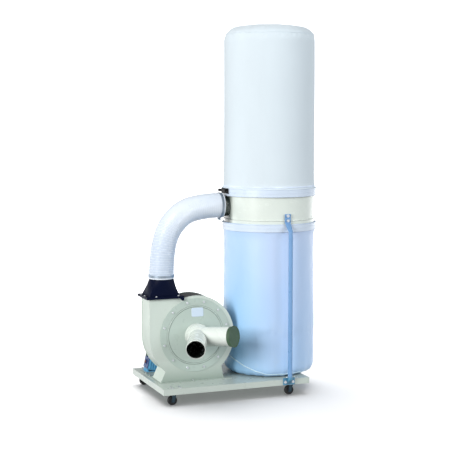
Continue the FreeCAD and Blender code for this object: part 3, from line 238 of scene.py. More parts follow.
def woven(name, colour):
    """Filter cloth: a twill weave, felted fuzz and soft handling marks."""
    s = Shader(name, Roughness=0.85, Sheen_Weight=0.2, Sheen_Roughness=0.5)
    warp = s.wave(260, "X", 0.4)
    weft = s.wave(260, "Z", 0.4)
    weave = s.maths("MULTIPLY", warp, weft)
    fuzz = s.noise(420, 4)
    cloud = s.remap(s.noise(5, 5, stretch=(1, 1, 0.35)), 0.3, 0.7)
    base = s.mix(cloud, shade(colour, 0.965), shade(colour, 1.02))
    base = s.mix(s.remap(weave, 0, 1, 0, 0.25), base, shade(colour, 0.9))
    low = s.remap(s.axis("Z"), 1.5, 1.09, 0, 0.18)
    base = s.mix(s.maths("MULTIPLY", low, s.remap(s.noise(9, 4), 0.35, 0.65)), base, srgb(206, 214, 222))
    s.set("Base Color", base)
    height = s.maths("ADD", weave, s.maths("MULTIPLY", fuzz, 0.6))
    s.set("Normal", s.bump(height, 0.22, 0.0005))
    return s.material


def film(name):
    """Milky plastic film of the collection bag: bluer low down, with painted shade that makes it darker and
    bluer towards the blower, and a crinkled gloss.
    """
    s = Shader(name, Specular_IOR_Level=0.45, Coat_Weight=0.2, Coat_Roughness=0.3)
    height = s.remap(s.axis("Z"), 0.1, 0.92)
    soft = s.remap(s.noise(3.2, 3, stretch=(1, 1, 0.5)), 0.35, 0.65)
    upper = s.mix(soft, srgb(192, 211, 240), srgb(200, 214, 243))
    lower = s.mix(soft, srgb(158, 198, 238), srgb(174, 206, 241))
    base = s.mix(height, lower, upper)
    # Painted shade: the film is darker and bluer on the side towards the blower, most of all low down.
    blower_side_painted_shade = s.maths("MULTIPLY", s.remap(s.axis("X"), 0.17, -0.01), s.remap(height, 0.0, 1.0, 0.75, 0.3))
    base = s.mix(blower_side_painted_shade, base, srgb(134, 190, 228))
    dust = s.remap(s.noise(24, 6, distortion=0.8), 0.55, 0.8, 0, 0.25)
    base = s.mix(s.maths("MULTIPLY", dust, s.remap(s.axis("Z"), 0.5, 0.1)), base, srgb(190, 205, 215))
    s.set("Base Color", base)
    s.set("Roughness", s.remap(s.noise(16, 5), 0.3, 0.7, 0.34, 0.5))
    crinkle = s.noise(26, 8, stretch=(1, 1, 0.6), distortion=1.2)
    s.set("Normal", s.bump(crinkle, 0.16, 0.004))
    return s.material


def hose_skin(name):
    """Pale flexible film with painted shade between the ribs, most of it in the lower run."""
    s = Shader(name, Specular_IOR_Level=0.5, Coat_Weight=0.3, Coat_Roughness=0.25)
    tone = s.remap(s.noise(8, 4), 0.3, 0.7)
    base = s.mix(tone, srgb(214, 223, 234), srgb(224, 231, 241))
    valley = s.add("ShaderNodeAttribute", attribute_name="valley").outputs["Fac"]
    # Painted shade: the valleys between the ribs are darker.
    valley_painted_shade = s.maths("MULTIPLY", valley, s.remap(s.axis("Z"), 1.03, 0.8, 0.25, 0.8))
    base = s.mix(valley_painted_shade, base, srgb(172, 188, 208))
    s.set("Base Color", s.mix(s.remap(s.noise(60, 5), 0.5, 0.8, 0, 0.3), base, srgb(205, 214, 222)))
    s.set("Roughness", s.remap(s.noise(30, 4), 0.3, 0.7, 0.26, 0.42))
    s.set("Normal", s.bump(s.noise(300, 3), 0.12, 0.0006))
    return s.material


def scroll_shadow(s):
    """The dark strip on top of the scroll, right of the outlet."""
    along = s.axis("X")
    left = s.remap(along, -0.318, -0.310)
    right = s.remap(along, -0.150, -0.172)
    top = s.remap(s.axis("Z"), 0.500, 0.508)
    return s.maths("MULTIPLY", s.maths("MULTIPLY", left, right), top)


def branch_inside(s):
    """The unlit inside of the open branch, from its rim back to the junction."""
    away = s.add("ShaderNodeVectorMath", operation="SUBTRACT")
    s.link(s.place, away.inputs[0])
    away.inputs[1].default_value = BLOWER_JUNCTION
    across = s.add("ShaderNodeVectorMath", operation="CROSS_PRODUCT")
    s.link(away.outputs[0], across.inputs[0])
    across.inputs[1].default_value = BLOWER_OPEN_BRANCH
    radius = s.add("ShaderNodeVectorMath", operation="LENGTH")
    s.link(across.outputs[0], radius.inputs[0])
    along = s.add("ShaderNodeVectorMath", operation="DOT_PRODUCT")
    s.link(away.outputs[0], along.inputs[0])
    along.inputs[1].default_value = BLOWER_OPEN_BRANCH
    inside = s.remap(radius.outputs["Value"], 0.0503, 0.0498)
    deep = s.remap(along.outputs["Value"], 0.2085, 0.190, 0.35, 1.0)
    before_rim = s.remap(along.outputs["Value"], 0.2105, 0.2095)
    return s.maths("MULTIPLY", s.maths("MULTIPLY", inside, deep), before_rim)


def branch_painted_shade(s):
    """Painted shade: the open branch's unlit inside, and a fainter painted shade on the lower half of both
    branches.
    """
    return s.maths("MAXIMUM", branch_inside(s), s.remap(s.axis("Z"), 0.362, 0.296, 0, 0.24))


def foot_painted_shade(s):
    """Painted shade, darker low on the blower's front down to the foot."""
    return s.remap(s.axis("Z"), 0.20, 0.10, 0, 0.6)


def bead_painted_shade(s):
    """Painted shade in the two corners beside the cover's bead."""
    flat = s.add("ShaderNodeVectorMath", operation="SUBTRACT")
    s.link(s.place, flat.inputs[0])
    flat.inputs[1].default_value = FAN_AXIS
    ground = s.add("ShaderNodeVectorMath", operation="MULTIPLY")
    s.link(flat.outputs[0], ground.inputs[0])
    ground.inputs[1].default_value = (1, 0, 1)
    radius = s.add("ShaderNodeVectorMath", operation="LENGTH")
    s.link(ground.outputs[0], radius.inputs[0])
    from_bead = s.maths("ABSOLUTE", s.maths("SUBTRACT", radius.outputs["Value"], 0.155))
    near = s.remap(s.maths("ABSOLUTE", s.maths("SUBTRACT", from_bead, 0.0042)), 0.0022, 0.0004)
    return s.maths("MULTIPLY", near, 0.5)


def stub_painted_shadow(s):
    """Painted shadow on the drum's stub, in the gap between the hose's end and the drum."""
    return s.remap(s.axis("X"), 0.006, -0.002)


def strut_feet(s):
    """The struts' feet, which are greener than the bars."""
    return s.remap(s.axis("Z"), 0.112, 0.098, 0, 0.75)


CREAM = srgb(194, 205, 197)
cream = painted("cream_paint", CREAM, 0.34)
cream_scroll = painted("cream_paint_scroll", CREAM, 0.4, dark_part=scroll_shadow, coat=0.0, specular=0.2,
                       dark=(3, 4, 4))
# A darker, shaded copy of the cream for the inlet cover: painted shade for its face turned from the key
# light, plus painted shade in the corners beside its bead.
shaded_cream_cover = painted("cream_paint_cover_shaded", srgb(172, 187, 179), 0.3, dark_part=bead_painted_shade, dark=(70, 84, 76))
# The blower front's cream carries painted shade that darkens it towards its foot.
cream_front = painted("cream_paint_front", CREAM, 0.34, dark_part=foot_painted_shade, dark=(104, 124, 112))
# A darker copy of the cream for the base pan: painted shade on its top, which the lamps light only weakly.
shaded_cream_base = painted("cream_paint_base_shaded", srgb(184, 194, 187), 0.3)
# A darker copy of the cream for the sole plate: painted shade on its top.
shaded_cream_foot = painted("cream_paint_foot_shaded", srgb(158, 170, 162), 0.4)
# The fitting's cream carries painted shade inside the open branch and on the lower half of both branches.
cream_fitting = painted("cream_paint_fitting", srgb(216, 223, 217), 0.24, dark_part=branch_painted_shade, coat=0.4)
# The drum's cream carries a painted shadow on its stub, where it meets the hose.
cream_drum = painted("cream_paint_drum", srgb(214, 222, 215), 0.22, coat=0.5, dark_part=stub_painted_shadow,
                     dark=(44, 54, 50))
navy = painted("navy_paint", srgb(1, 8, 34), 0.5, wear=srgb(50, 60, 100), coat=0.0, specular=0.08)
strut_blue = painted("strut_blue", srgb(108, 150, 196), 0.3, wear=srgb(190, 205, 215), dark_part=strut_feet,
                     dark=(62, 132, 158))
latch_black = painted("latch_black", srgb(7, 8, 10), 0.45, wear=srgb(34, 36, 40), coat=0.0, specular=0.2,
                      edge=0.0004)
motor_blue = painted("motor_blue", srgb(52, 112, 165), 0.38, wear=srgb(150, 170, 185))
starter_blue = painted("starter_blue", srgb(84, 158, 200), 0.34, wear=srgb(170, 190, 200))
black_paint = painted("black_paint", srgb(12, 13, 16), 0.4, wear=srgb(90, 92, 98), coat=0.0, specular=0.3)
fork_steel = bare_metal("fork_steel", srgb(62, 78, 88), 0.42)
plated = bare_metal("plated_steel", srgb(214, 218, 222), 0.3)
band_metal = painted("band_paint", srgb(203, 216, 232), 0.3, wear=srgb(235, 240, 245), peel=0.06)
zinc = bare_metal("zinc_steel", srgb(140, 152, 164), 0.36)
core = bare_metal("core_steel", srgb(120, 112, 104), 0.5)
steel_wheel = painted("impeller_paint", srgb(180, 190, 184), 0.45, wear=srgb(200, 200, 200))
cap_green = moulded("cap_plastic", srgb(52, 80, 54), 0.5)
cap_black = moulded("gland_plastic", srgb(26, 27, 30), 0.5)
fan_black = moulded("fan_plastic", srgb(30, 31, 34), 0.5)
cover_navy = moulded("starter_plastic", srgb(30, 62, 112), 0.4)
green = moulded("green_plastic", srgb(24, 66, 50), 0.28)
red = moulded("red_plastic", srgb(92, 30, 34), 0.28)
rubber = moulded("wheel_rubber", srgb(22, 23, 25), 0.6, strength=0.35)
lead = moulded("lead_rubber", srgb(24, 24, 26), 0.55)
cloth = woven("filter_cloth", srgb(208, 219, 226))
thread = moulded("thread", srgb(238, 241, 245), 0.8, texture=2500)
bag_film = film("bag_film")
weld = moulded("film_weld", srgb(208, 232, 247), 0.35, texture=1200)
hose_film = hose_skin("hose_film")
hem_tape = moulded("hem_tape", srgb(212, 224, 240), 0.75, texture=1500)
label_face = painted("label_face", srgb(196, 212, 228), 0.3, wear=srgb(215, 220, 235), peel=0.04)

SLOT_MATERIALS = {
    "cream_paint": cream, "navy_plastic": navy, "cap_plastic": cap_green, "band_steel": band_metal,
    "bright_steel": plated, "zinc_steel": zinc, "black_steel": black_paint, "strut_paint": strut_blue,
    "motor_paint": motor_blue, "core_steel": core, "fan_plastic": fan_black, "impeller_steel": steel_wheel,
    "starter_paint": starter_blue, "starter_plastic": cover_navy, "green_plastic": green, "red_plastic": red,
    "gland_plastic": cap_black, "lead_rubber": lead, "wheel_rubber": rubber, "hose_plastic": hose_film,
    "filter_cloth": cloth, "collection_film": bag_film,
}
for part in frame["record"]["subparts"]:
    mesh = nodes[part["node"]].data
    mesh.materials.clear()
    mesh.materials.append(SLOT_MATERIALS[part["material_slot"]])
nodes["scroll_band"].data.materials[0] = cream_scroll
nodes["y_fitting"].data.materials[0] = cream_fitting
nodes["collector_drum"].data.materials[0] = cream_drum
nodes["inlet_cover"].data.materials[0] = shaded_cream_cover
nodes["blower_front_plate"].data.materials[0] = cream_front
nodes["base_pan"].data.materials[0] = shaded_cream_base
nodes["hose_clamps"].data.materials[0] = zinc
nodes["sole_plate"].data.materials[0] = shaded_cream_foot
for corner in ("front_left", "front_right", "rear_left", "rear_right"):
    nodes["fork_" + corner].data.materials[0] = fork_steel
    nodes["axle_" + corner].data.materials[0] = fork_steel
for latch in ("upper_latch_base", "upper_latch_lever", "lower_latch_base", "lower_latch_lever"):
    nodes[latch].data.materials[0] = latch_black


# Mesh helpers

DRUM_RING_POINTS = 144

def piece(name, points, faces, material, slot=None, body="frame"):
    """A smooth-shaded mesh object that rides on a body, unless body is None."""
    mesh = bpy.data.meshes.new(name)
    mesh.from_pydata([tuple(p) for p in points], [], faces)
    mesh.materials.append(material)
    mesh.polygons.foreach_set("use_smooth", [True] * len(mesh.polygons))
    mesh.update()
    made = bpy.data.objects.new(name, mesh)
    bpy.context.scene.collection.objects.link(made)
    if body:
        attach(made, body)
    return made


def ring_faces(rings, around, close_rings=False):
    """Quads between rings of points, numbered ring by ring."""
    faces = []
    last = rings if close_rings else rings - 1
    for i in range(last):
        for j in range(around):
            k = (j + 1) % around
            n = (i + 1) % rings
            faces.append((i * around + j, i * around + k, n * around + k, n * around + j))
    return faces


def swept(path, section, name, material, closed=False, **rest):
    """A tube whose section (side, out) is carried along points given with their side and out directions."""
    points = [centre + side * a + out * b for centre, side, out in path for a, b in section]
    faces = ring_faces(len(path), len(section), closed)
    if not closed:
        faces.append(tuple(range(len(section) - 1, -1, -1)))
        faces.append(tuple((len(path) - 1) * len(section) + i for i in range(len(section))))
    return piece(name, points, faces, material, **rest)


def round_section(radius, sides):
    """A circle for swept()."""
    return [(radius * math.cos(2 * math.pi * i / sides), radius * math.sin(2 * math.pi * i / sides))
            for i in range(sides)]


def drum_ring(radius, z):
    """Points round the drum's axis with up and outward directions."""
    path = []
    for i in range(DRUM_RING_POINTS):
        angle = 2 * math.pi * i / DRUM_RING_POINTS
        out = Vector((math.cos(angle), math.sin(angle), 0))
        path.append((DRUM_AXIS + out * radius + Vector((0, 0, z)), Vector((0, 0, 1)), out))
    return path


# Bags

def resampled(outline, rows):
    """Points at even steps along an outline of (radius, height)."""
    lengths = [0.0]
    for (r0, z0), (r1, z1) in zip(outline, outline[1:]):
        lengths.append(lengths[-1] + math.hypot(r1 - r0, z1 - z0))
    steps = np.linspace(0, lengths[-1], rows)
    radii = np.interp(steps, lengths, [r for r, _ in outline])
    heights = np.interp(steps, lengths, [z for _, z in outline])
    for _ in range(3):
        radii[1:-1] = (radii[:-2] + 2 * radii[1:-1] + radii[2:]) / 4
        heights[1:-1] = (heights[:-2] + 2 * heights[1:-1] + heights[2:]) / 4
    return list(zip(radii, heights))


class Bag:
    """A bag as a grid of points round the drum's axis, from its hem to its closed end."""

    def __init__(self, outline, rows, around):
        self.rows, self.around = rows, around
        self.upright = outline[0][1] < outline[-1][1]
        self.outline = resampled(outline, rows)
        self.points = []
        for i, (radius, z) in enumerate(self.outline):
            for j in range(around):
                angle = 2 * math.pi * j / around
                across = Vector((radius * math.cos(angle), radius * math.sin(angle), z))
                self.points.append(DRUM_AXIS + across)

    def ruffle(self, height_at):
        """Move every point along its own normal by height_at(angle, radius, z)."""
        moved = []
        for i, (radius, z) in enumerate(self.outline):
            before = self.outline[max(i - 1, 0)]
            after = self.outline[min(i + 1, self.rows - 1)]
            run = Vector((after[0] - before[0], after[1] - before[1])).normalized()
            facing = (run.y, -run.x)
            if facing[0] + facing[1] * (1 if self.upright else -1) < 0:
                facing = (-facing[0], -facing[1])
            for j in range(self.around):
                angle = 2 * math.pi * j / self.around
                normal = Vector((facing[0] * math.cos(angle), facing[0] * math.sin(angle), facing[1]))
                moved.append(self.points[i * self.around + j] + normal * height_at(angle, radius, z))
        self.points = moved

    def build(self, name, material, slot):
        faces = ring_faces(self.rows, self.around)
        middle = len(self.points)
        last = (self.rows - 1) * self.around
        end = sum((self.points[last + j] for j in range(self.around)), Vector()) / self.around
        for j in range(self.around):
            faces.append((last + j, last + (j + 1) % self.around, middle))
        if not self.upright:
            faces = [tuple(reversed(f)) for f in faces]
        return piece(name, self.points + [end], faces, material, slot)

    def take_back(self, made):
        """Read the grid back from its mesh once that has been simulated."""
        self.points = [v.co.copy() for v in made.data.vertices][:self.rows * self.around]

    def at(self, row, angle):
        """A point on the bag and the direction out of it there."""
        column = (angle / (2 * math.pi) * self.around) % self.around
        i, j = min(int(row), self.rows - 2), int(column)
        a, b = row - i, column - j

        def corner(di, dj):
            return self.points[(i + di) * self.around + (j + dj) % self.around]

        point = ((corner(0, 0) * (1 - b) + corner(0, 1) * b) * (1 - a)
                 + (corner(1, 0) * (1 - b) + corner(1, 1) * b) * a)
        down = (corner(1, 0) - corner(0, 0)).normalized()
        across = (corner(0, 1) - corner(0, 0)).normalized()
        out = down.cross(across)
        centre = DRUM_AXIS + Vector((0, 0, 1.5 if self.upright else 0.5))
        if out.dot(point - centre) < 0:
            out.negate()
        out.normalize()
        return point, out

    def row_at(self, z):
        for i, (_, height) in enumerate(self.outline[:-1]):
            if (height - z) * (self.outline[i + 1][1] - z) <= 0:
                return i + (height - z) / ((height - self.outline[i + 1][1]) or 1)
        return self.rows - 2


def inflate(made, bag, pinned_rows, pressure, gravity, frames, most):
    """Blow the bag up as cloth that is held at its hem, with no point moving further than most."""
    rest = [v.co.copy() for v in made.data.vertices]
    group = made.vertex_groups.new(name="held")
    group.add(list(range(pinned_rows * bag.around)), 1.0, "REPLACE")
    cloth_modifier = made.modifiers.new("cloth", "CLOTH")
    settings = cloth_modifier.settings
    settings.vertex_group_mass = "held"
    settings.quality = 5
    settings.mass = 0.25
    settings.tension_stiffness = 25
    settings.compression_stiffness = 18
    settings.shear_stiffness = 8
    settings.bending_stiffness = 0.4
    settings.air_damping = 3
    settings.use_pressure = True
    settings.uniform_pressure_force = pressure
    settings.effector_weights.gravity = gravity
    cloth_modifier.point_cache.frame_start = 1
    cloth_modifier.point_cache.frame_end = frames
    for number in range(1, frames + 1):
        bpy.context.scene.frame_set(number)
    graph = bpy.context.evaluated_depsgraph_get()
    done = bpy.data.meshes.new_from_object(made.evaluated_get(graph))
    settled = [v.co.copy() for v in done.vertices]
    bpy.data.meshes.remove(done)
    made.modifiers.remove(cloth_modifier)
    made.vertex_groups.remove(group)
    for vertex, start, end in zip(made.data.vertices, rest, settled):
        move = end - start
        if move.length > most:
            move = move * (most / move.length)
        vertex.co = start + move
    made.data.update()
    bpy.context.scene.frame_set(1)


def ripple(seed, angle, z, across, along):
    """Smooth seamless noise round the axis, from -1 to 1."""
    return noise.noise(Vector((math.cos(angle) * across + seed, math.sin(angle) * across, z * along)))


# The bags are held by their bands up to these heights
FILTER_FREE_Z = 1.109
FILM_FREE_Z = 0.878


def filter_folds(angle, radius, z):
    """Height of the filter cloth's slack and of the puckers at its hem and its top seam."""
    if z < FILTER_FREE_Z:
        return 0
    near_hem = math.exp(-((z - UPPER_BAND_Z[1]) / 0.09) ** 2)
    near_top = math.exp(-((z - 1.935) / 0.07) ** 2)
    slack = 0.0016 * ripple(3, angle, z, 2.4, 1.4) + 0.0008 * ripple(9, angle, z, 7, 2.0)
    puckers = 0.0007 * near_hem * math.sin(38 * angle + 7 * ripple(5, angle, 0, 3, 1))
    puckers += 0.0007 * near_top * math.sin(50 * angle + 8 * ripple(7, angle, 0, 3, 1))
    return slack + puckers - 0.0012


def film_folds(angle, radius, z):
    """Height of the film's long folds, of the puckers at its hem and of the gathers low down."""
    if z > FILM_FREE_Z:
        return 0
    near_hem = math.exp(-((z - FILM_FREE_Z) / 0.10) ** 2)
    low = math.exp(-((z - 0.10) / 0.075) ** 2)
    long_folds = 0.0022 * ripple(13, angle, z, 3.0, 0.9) + 0.0010 * ripple(17, angle, z, 8, 1.6)
    puckers = 0.0007 * near_hem * math.sin(34 * angle + 9 * ripple(15, angle, 0, 3, 1))
    gathers = 0.0012 * low * math.sin(22 * angle + 5 * ripple(19, angle, z, 2.5, 3)) * min(1, radius / 0.2)
    flat = 0.0 if z < 0.0935 and radius < 0.2 else 1.0
    return flat * (long_folds + puckers + gathers - 0.0022)


filter_grid = Bag(FILTER_OUTLINE, BAG_ROWS, BAG_AROUND)
filter_grid.ruffle(filter_folds)
filter_skin = filter_grid.build("filter_bag_cloth", cloth, "filter_cloth")
hem_rows = int(filter_grid.row_at(FILTER_FREE_Z - 0.001)) + 1
inflate(filter_skin, filter_grid, hem_rows, 3.0, 0.0, 18, 0.006)
filter_grid.take_back(filter_skin)
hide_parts("filter_bag")

film_grid = Bag(BAG_OUTLINE, BAG_ROWS, BAG_AROUND)
film_grid.ruffle(film_folds)
film_skin = film_grid.build("collection_bag_film", bag_film, "collection_film")
film_rows = int(film_grid.row_at(FILM_FREE_Z + 0.001)) + 1
inflate(film_skin, film_grid, film_rows, 1.5, 0.3, 14, 0.004)
film_grid.take_back(film_skin)
for vertex in film_skin.data.vertices:
    vertex.co.z = max(vertex.co.z, BAG_LOWEST)
film_skin.data.update()
film_grid.take_back(film_skin)
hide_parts("collection_bag")


# Seams, tapes and stitches on the bags

def strip(name, bag, stations, width, lift, material, slot):
    """A flat tape that follows stations of (row, angle) on a bag."""
    places = [bag.at(row, angle) for row, angle in stations]
    path = []
    for i, (point, out) in enumerate(places):
        ahead = places[min(i + 1, len(places) - 1)][0] - places[max(i - 1, 0)][0]
        side = out.cross(ahead).normalized()
        path.append((point, side, out))
    half = width / 2
    section = [(-half, -0.0004), (half, -0.0004), (half, lift * 0.6), (half * 0.8, lift), (-half * 0.8, lift),
               (-half, lift * 0.6)]
    return swept(path, section, name, material, slot=slot)


STITCH_LENGTH = 0.0035
STITCH_GAP = 0.0022
STITCH_THICK = 0.00045


def stitches(name, bag, stations, offset, lift, slot):
    """A row of single stitches beside a line of stations, each a small spindle of thread."""
    places = [bag.at(row, angle) for row, angle in stations]
    line = []
    for i, (point, out) in enumerate(places):
        ahead = (places[min(i + 1, len(places) - 1)][0] - places[max(i - 1, 0)][0]).normalized()
        line.append((point + out.cross(ahead) * offset + out * lift, out, ahead))
    points, faces = [], []
    travelled, start = 0.0, 0.0
    for (here, out, ahead), (there, _, _) in zip(line, line[1:]):
        run = (there - here).length
        while start + STITCH_LENGTH <= travelled + run:
            if start >= travelled:
                first = here + ahead * (start - travelled)
                last = first + ahead * STITCH_LENGTH
                middle = (first + last) / 2 + out * STITCH_THICK
                side = out.cross(ahead) * STITCH_THICK
                rise = out * STITCH_THICK
                index = len(points)
                points += [first, middle + side, middle + rise, middle - side, middle - rise * 2, last]
                for a, b in ((1, 2), (2, 3), (3, 4), (4, 1)):
                    faces += [(index, index + a, index + b), (index + 5, index + b, index + a)]
            start += STITCH_LENGTH + STITCH_GAP
        travelled += run
    return piece(name, points, faces, thread, slot)


def round_stations(row_of):
    """Stations all the way round a bag, on the row that row_of gives for each angle."""
    count = 300
    return [(row_of(2 * math.pi * i / count), 2 * math.pi * i / count) for i in range(count + 1)]


BACK_SEAM = math.radians(75)
top_row = filter_grid.row_at(1.940)
upright = [(row, BACK_SEAM) for row in np.linspace(hem_rows + 1, top_row, 160)]
top_round = round_stations(lambda a: top_row)
top_stitch_round = round_stations(lambda a: top_row - 2.2)
hem_round = round_stations(lambda a: hem_rows + 1.2)
hem_stitch_round = round_stations(lambda a: hem_rows + 2.3)
filter_extras = [
    strip("filter_bag_back_seam", filter_grid, upright, 0.012, 0.0011, cloth, "filter_cloth"),
    stitches("filter_bag_back_stitch_a", filter_grid, upright, 0.0045, 0.0011, "filter_cloth"),
    stitches("filter_bag_back_stitch_b", filter_grid, upright, -0.0045, 0.0011, "filter_cloth"),
    strip("filter_bag_top_seam", filter_grid, top_round, 0.006, 0.0016, cloth, "filter_cloth"),
    stitches("filter_bag_top_stitch", filter_grid, top_stitch_round, 0, 0.0003, "filter_cloth"),
    strip("filter_bag_hem_tape", filter_grid, hem_round, 0.009, 0.0010, hem_tape, "filter_cloth"),
    stitches("filter_bag_hem_stitch", filter_grid, hem_stitch_round, 0, 0.0003, "filter_cloth"),
]


def floor_seam_row(angle):
    """The bottom panel's seam, which rides up on the side towards the blower."""
    return film_grid.row_at(0.108 + 0.104 * max(0.0, math.cos(angle - math.radians(158.7))) ** 1.5)


film_upright = [(row, BACK_SEAM) for row in np.linspace(film_rows + 1, film_grid.row_at(0.16), 150)]
floor_round = round_stations(floor_seam_row)
film_extras = [
    strip("collection_bag_floor_seam", film_grid, floor_round, 0.0055, 0.0024, weld,
          "collection_film"),
    strip("collection_bag_back_weld", film_grid, film_upright, 0.008, 0.0008, bag_film, "collection_film"),
]


# Bands' rolled edges and middle ribs

LIP_R = 0.0016
RIB_R = 0.0011
for name, (low, high) in (("upper_band", UPPER_BAND_Z), ("lower_band", LOWER_BAND_Z)):
    beads = ((low + LIP_R, LIP_R), ((low + high) / 2, RIB_R), (high - LIP_R, LIP_R))
    for number, (z, reach) in enumerate(beads):
        swept(drum_ring(BAND_R, z), round_section(reach, 10), "%s_bead_%d" % (name, number), band_metal,
              closed=True, slot="band_steel")


# Hose

def route_points(route, resolution):
    """Points read from a smooth spline on the route's own control points."""
    curve = bpy.data.curves.new("route", "CURVE")
    curve.dimensions = "3D"
    spline = curve.splines.new("NURBS")
    spline.points.add(len(route) - 1)
    for point, place in zip(spline.points, route):
        point.co = (*(Vector(place) - CAD_ORIGIN), 1)
    spline.order_u = 3
    spline.use_endpoint_u = True
    spline.resolution_u = resolution
    holder = bpy.data.objects.new("route", curve)
    bpy.context.scene.collection.objects.link(holder)
    bpy.context.view_layer.update()
    mesh = bpy.data.meshes.new_from_object(holder)
    points = [v.co.copy() for v in mesh.vertices]
    bpy.data.objects.remove(holder)
    bpy.data.meshes.remove(mesh)
    return points


def even_path(points, step):
    """The same line at even steps, with a side and an out direction carried along it without twist."""
    lengths = [0.0]
    for a, b in zip(points, points[1:]):
        lengths.append(lengths[-1] + (b - a).length)
    count = int(lengths[-1] / step) + 1
    at = np.linspace(0, lengths[-1], count)
    coords = [np.interp(at, lengths, [p[k] for p in points]) for k in range(3)]
    line = [Vector(c) for c in zip(*coords)]
    side = Vector((0, 1, 0))
    path = []
    for i, here in enumerate(line):
        ahead = (line[min(i + 1, count - 1)] - line[max(i - 1, 0)]).normalized()
        side = (side - ahead * side.dot(ahead)).normalized()
        path.append((here, side, ahead.cross(side)))
    return path, lengths[-1]


HOSE_PITCH = 0.0125
HOSE_CUFF = 0.006
HOSE_SKIN = 0.0006
HOSE_RIB_DEPTH = 0.0034
HOSE_RIB_LOSS = 0.0024
HOSE_LOWER_RUN = 0.2
HOSE_FADE_RUN = 0.16
HOSE_WIRE_R = 0.0011
HOSE_AROUND = 80
hose_path, hose_length = even_path(route_points(HOSE_ROUTE, 96), 0.00125)


def hose_radius(s, angle):
    """Outer radius: smooth cuffs at the ends and a spiral between them, fainter in the upper run."""
    if s < HOSE_CUFF or s > hose_length - HOSE_CUFF:
        return HOSE_R - HOSE_SKIN
    phase = (s / HOSE_PITCH - angle / (2 * math.pi)) % 1
    away = min(phase, 1 - phase)
    wire = math.exp(-(away / 0.13) ** 2)
    upper_share = max(0, min(1, (s - HOSE_LOWER_RUN) / HOSE_FADE_RUN))
    deepest = HOSE_RIB_DEPTH - HOSE_RIB_LOSS * upper_share
    dip = deepest * math.sin(math.pi * min(1, away / 0.5)) ** 0.7
    fade = min(1, (s - HOSE_CUFF) / 0.006, (hose_length - HOSE_CUFF - s) / 0.006)
    return HOSE_R - HOSE_SKIN - fade * (dip * (1 - wire) + 0.0002)


VALLEY_TOP = 0.0014
VALLEY_DEPTH = 0.0022
hose_points, hose_valleys = [], []
for i, (centre, side, out) in enumerate(hose_path):
    s = hose_length * i / (len(hose_path) - 1)
    for j in range(HOSE_AROUND):
        angle = 2 * math.pi * j / HOSE_AROUND
        radius = hose_radius(s, angle)
        hose_points.append(centre + (side * math.cos(angle) + out * math.sin(angle)) * radius)
        hose_valleys.append(min(1.0, max(0.0, (HOSE_R - VALLEY_TOP - radius) / VALLEY_DEPTH)))
for centre, side, out in reversed(hose_path[::6]):
    for j in range(HOSE_AROUND):
        angle = 2 * math.pi * j / HOSE_AROUND
        hose_points.append(centre + (side * math.cos(angle) + out * math.sin(angle)) * HOSE_BORE)
hose_rings = len(hose_points) // HOSE_AROUND
hose = piece("hose_skin", hose_points, ring_faces(hose_rings, HOSE_AROUND, True), hose_film, "hose_plastic")
hose_valleys += [0.0] * (len(hose_points) - len(hose_valleys))
hose.data.attributes.new("valley", "FLOAT", "POINT").data.foreach_set("value", hose_valleys)
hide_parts("flex_hose")

for number, s in enumerate((HOSE_CUFF + 0.001, hose_length - HOSE_CUFF - 0.001)):
    centre, side, out = hose_path[int(s / hose_length * (len(hose_path) - 1))]
    forward = side.cross(out)
    ring = []
    for j in range(HOSE_AROUND):
        angle = 2 * math.pi * j / HOSE_AROUND
        radial = side * math.cos(angle) + out * math.sin(angle)
        ring.append((centre + radial * (HOSE_R - HOSE_SKIN), forward, radial))
    swept(ring, round_section(HOSE_WIRE_R, 8), "hose_cuff_wire_%d" % number, hose_film, closed=True,
          slot="hose_plastic")


# Blank label on the inlet cover, lying on its shallow cone

LABEL_X, LABEL_WIDTH = 0.203, 0.067
LABEL_Z, LABEL_HEIGHT = 0.436, 0.047
CONE_OUTER_R, CONE_INNER_R = 0.150, 0.0633
CONE_Y, CONE_DEPTH = 0.147, 0.010


def label_point(u, v, lift):
    """A point on the cone in front of the fan, from shares of the label's width and height."""
    x = LABEL_X + LABEL_WIDTH * u - CAD_ORIGIN.x
    z = LABEL_Z + LABEL_HEIGHT * v
    radius = math.hypot(x - FAN_AXIS.x, z - FAN_AXIS.z)
    y = CONE_Y - CONE_DEPTH * (CONE_OUTER_R - radius) / (CONE_OUTER_R - CONE_INNER_R) - CAD_ORIGIN.y
    return Vector((x, y - lift, z))


def label_outline():
    """The label's outline with rounded corners, in shares of its width and height."""
    corner, steps = 0.12, 5
    outline = []
    for cu, cv, start in ((1 - corner, corner * 1.4, -90), (1 - corner, 1 - corner * 1.4, 0),
                          (corner, 1 - corner * 1.4, 90), (corner, corner * 1.4, 180)):
        for i in range(steps + 1):
            angle = math.radians(start + 90 * i / steps)
            outline.append((cu + corner * math.cos(angle), cv + corner * 1.4 * math.sin(angle)))
    return outline


def make_label():
    outline = label_outline()
    count = len(outline)
    points = []
    for share, lift in ((1.0, -0.0004), (1.0, 0.0005), (0.94, 0.0007), (0.6, 0.0007), (0.25, 0.0007)):
        for u, v in outline:
            points.append(label_point(0.5 + (u - 0.5) * share, 0.5 + (v - 0.5) * share, lift))
    faces = ring_faces(5, count)
    points.append(label_point(0.5, 0.5, 0.0007))
    for j in range(count):
        faces.append((4 * count + j, 4 * count + (j + 1) % count, 5 * count))
    return piece("cover_label", points, faces, label_face, "cream_paint")


make_label()


# Stage, light and camera

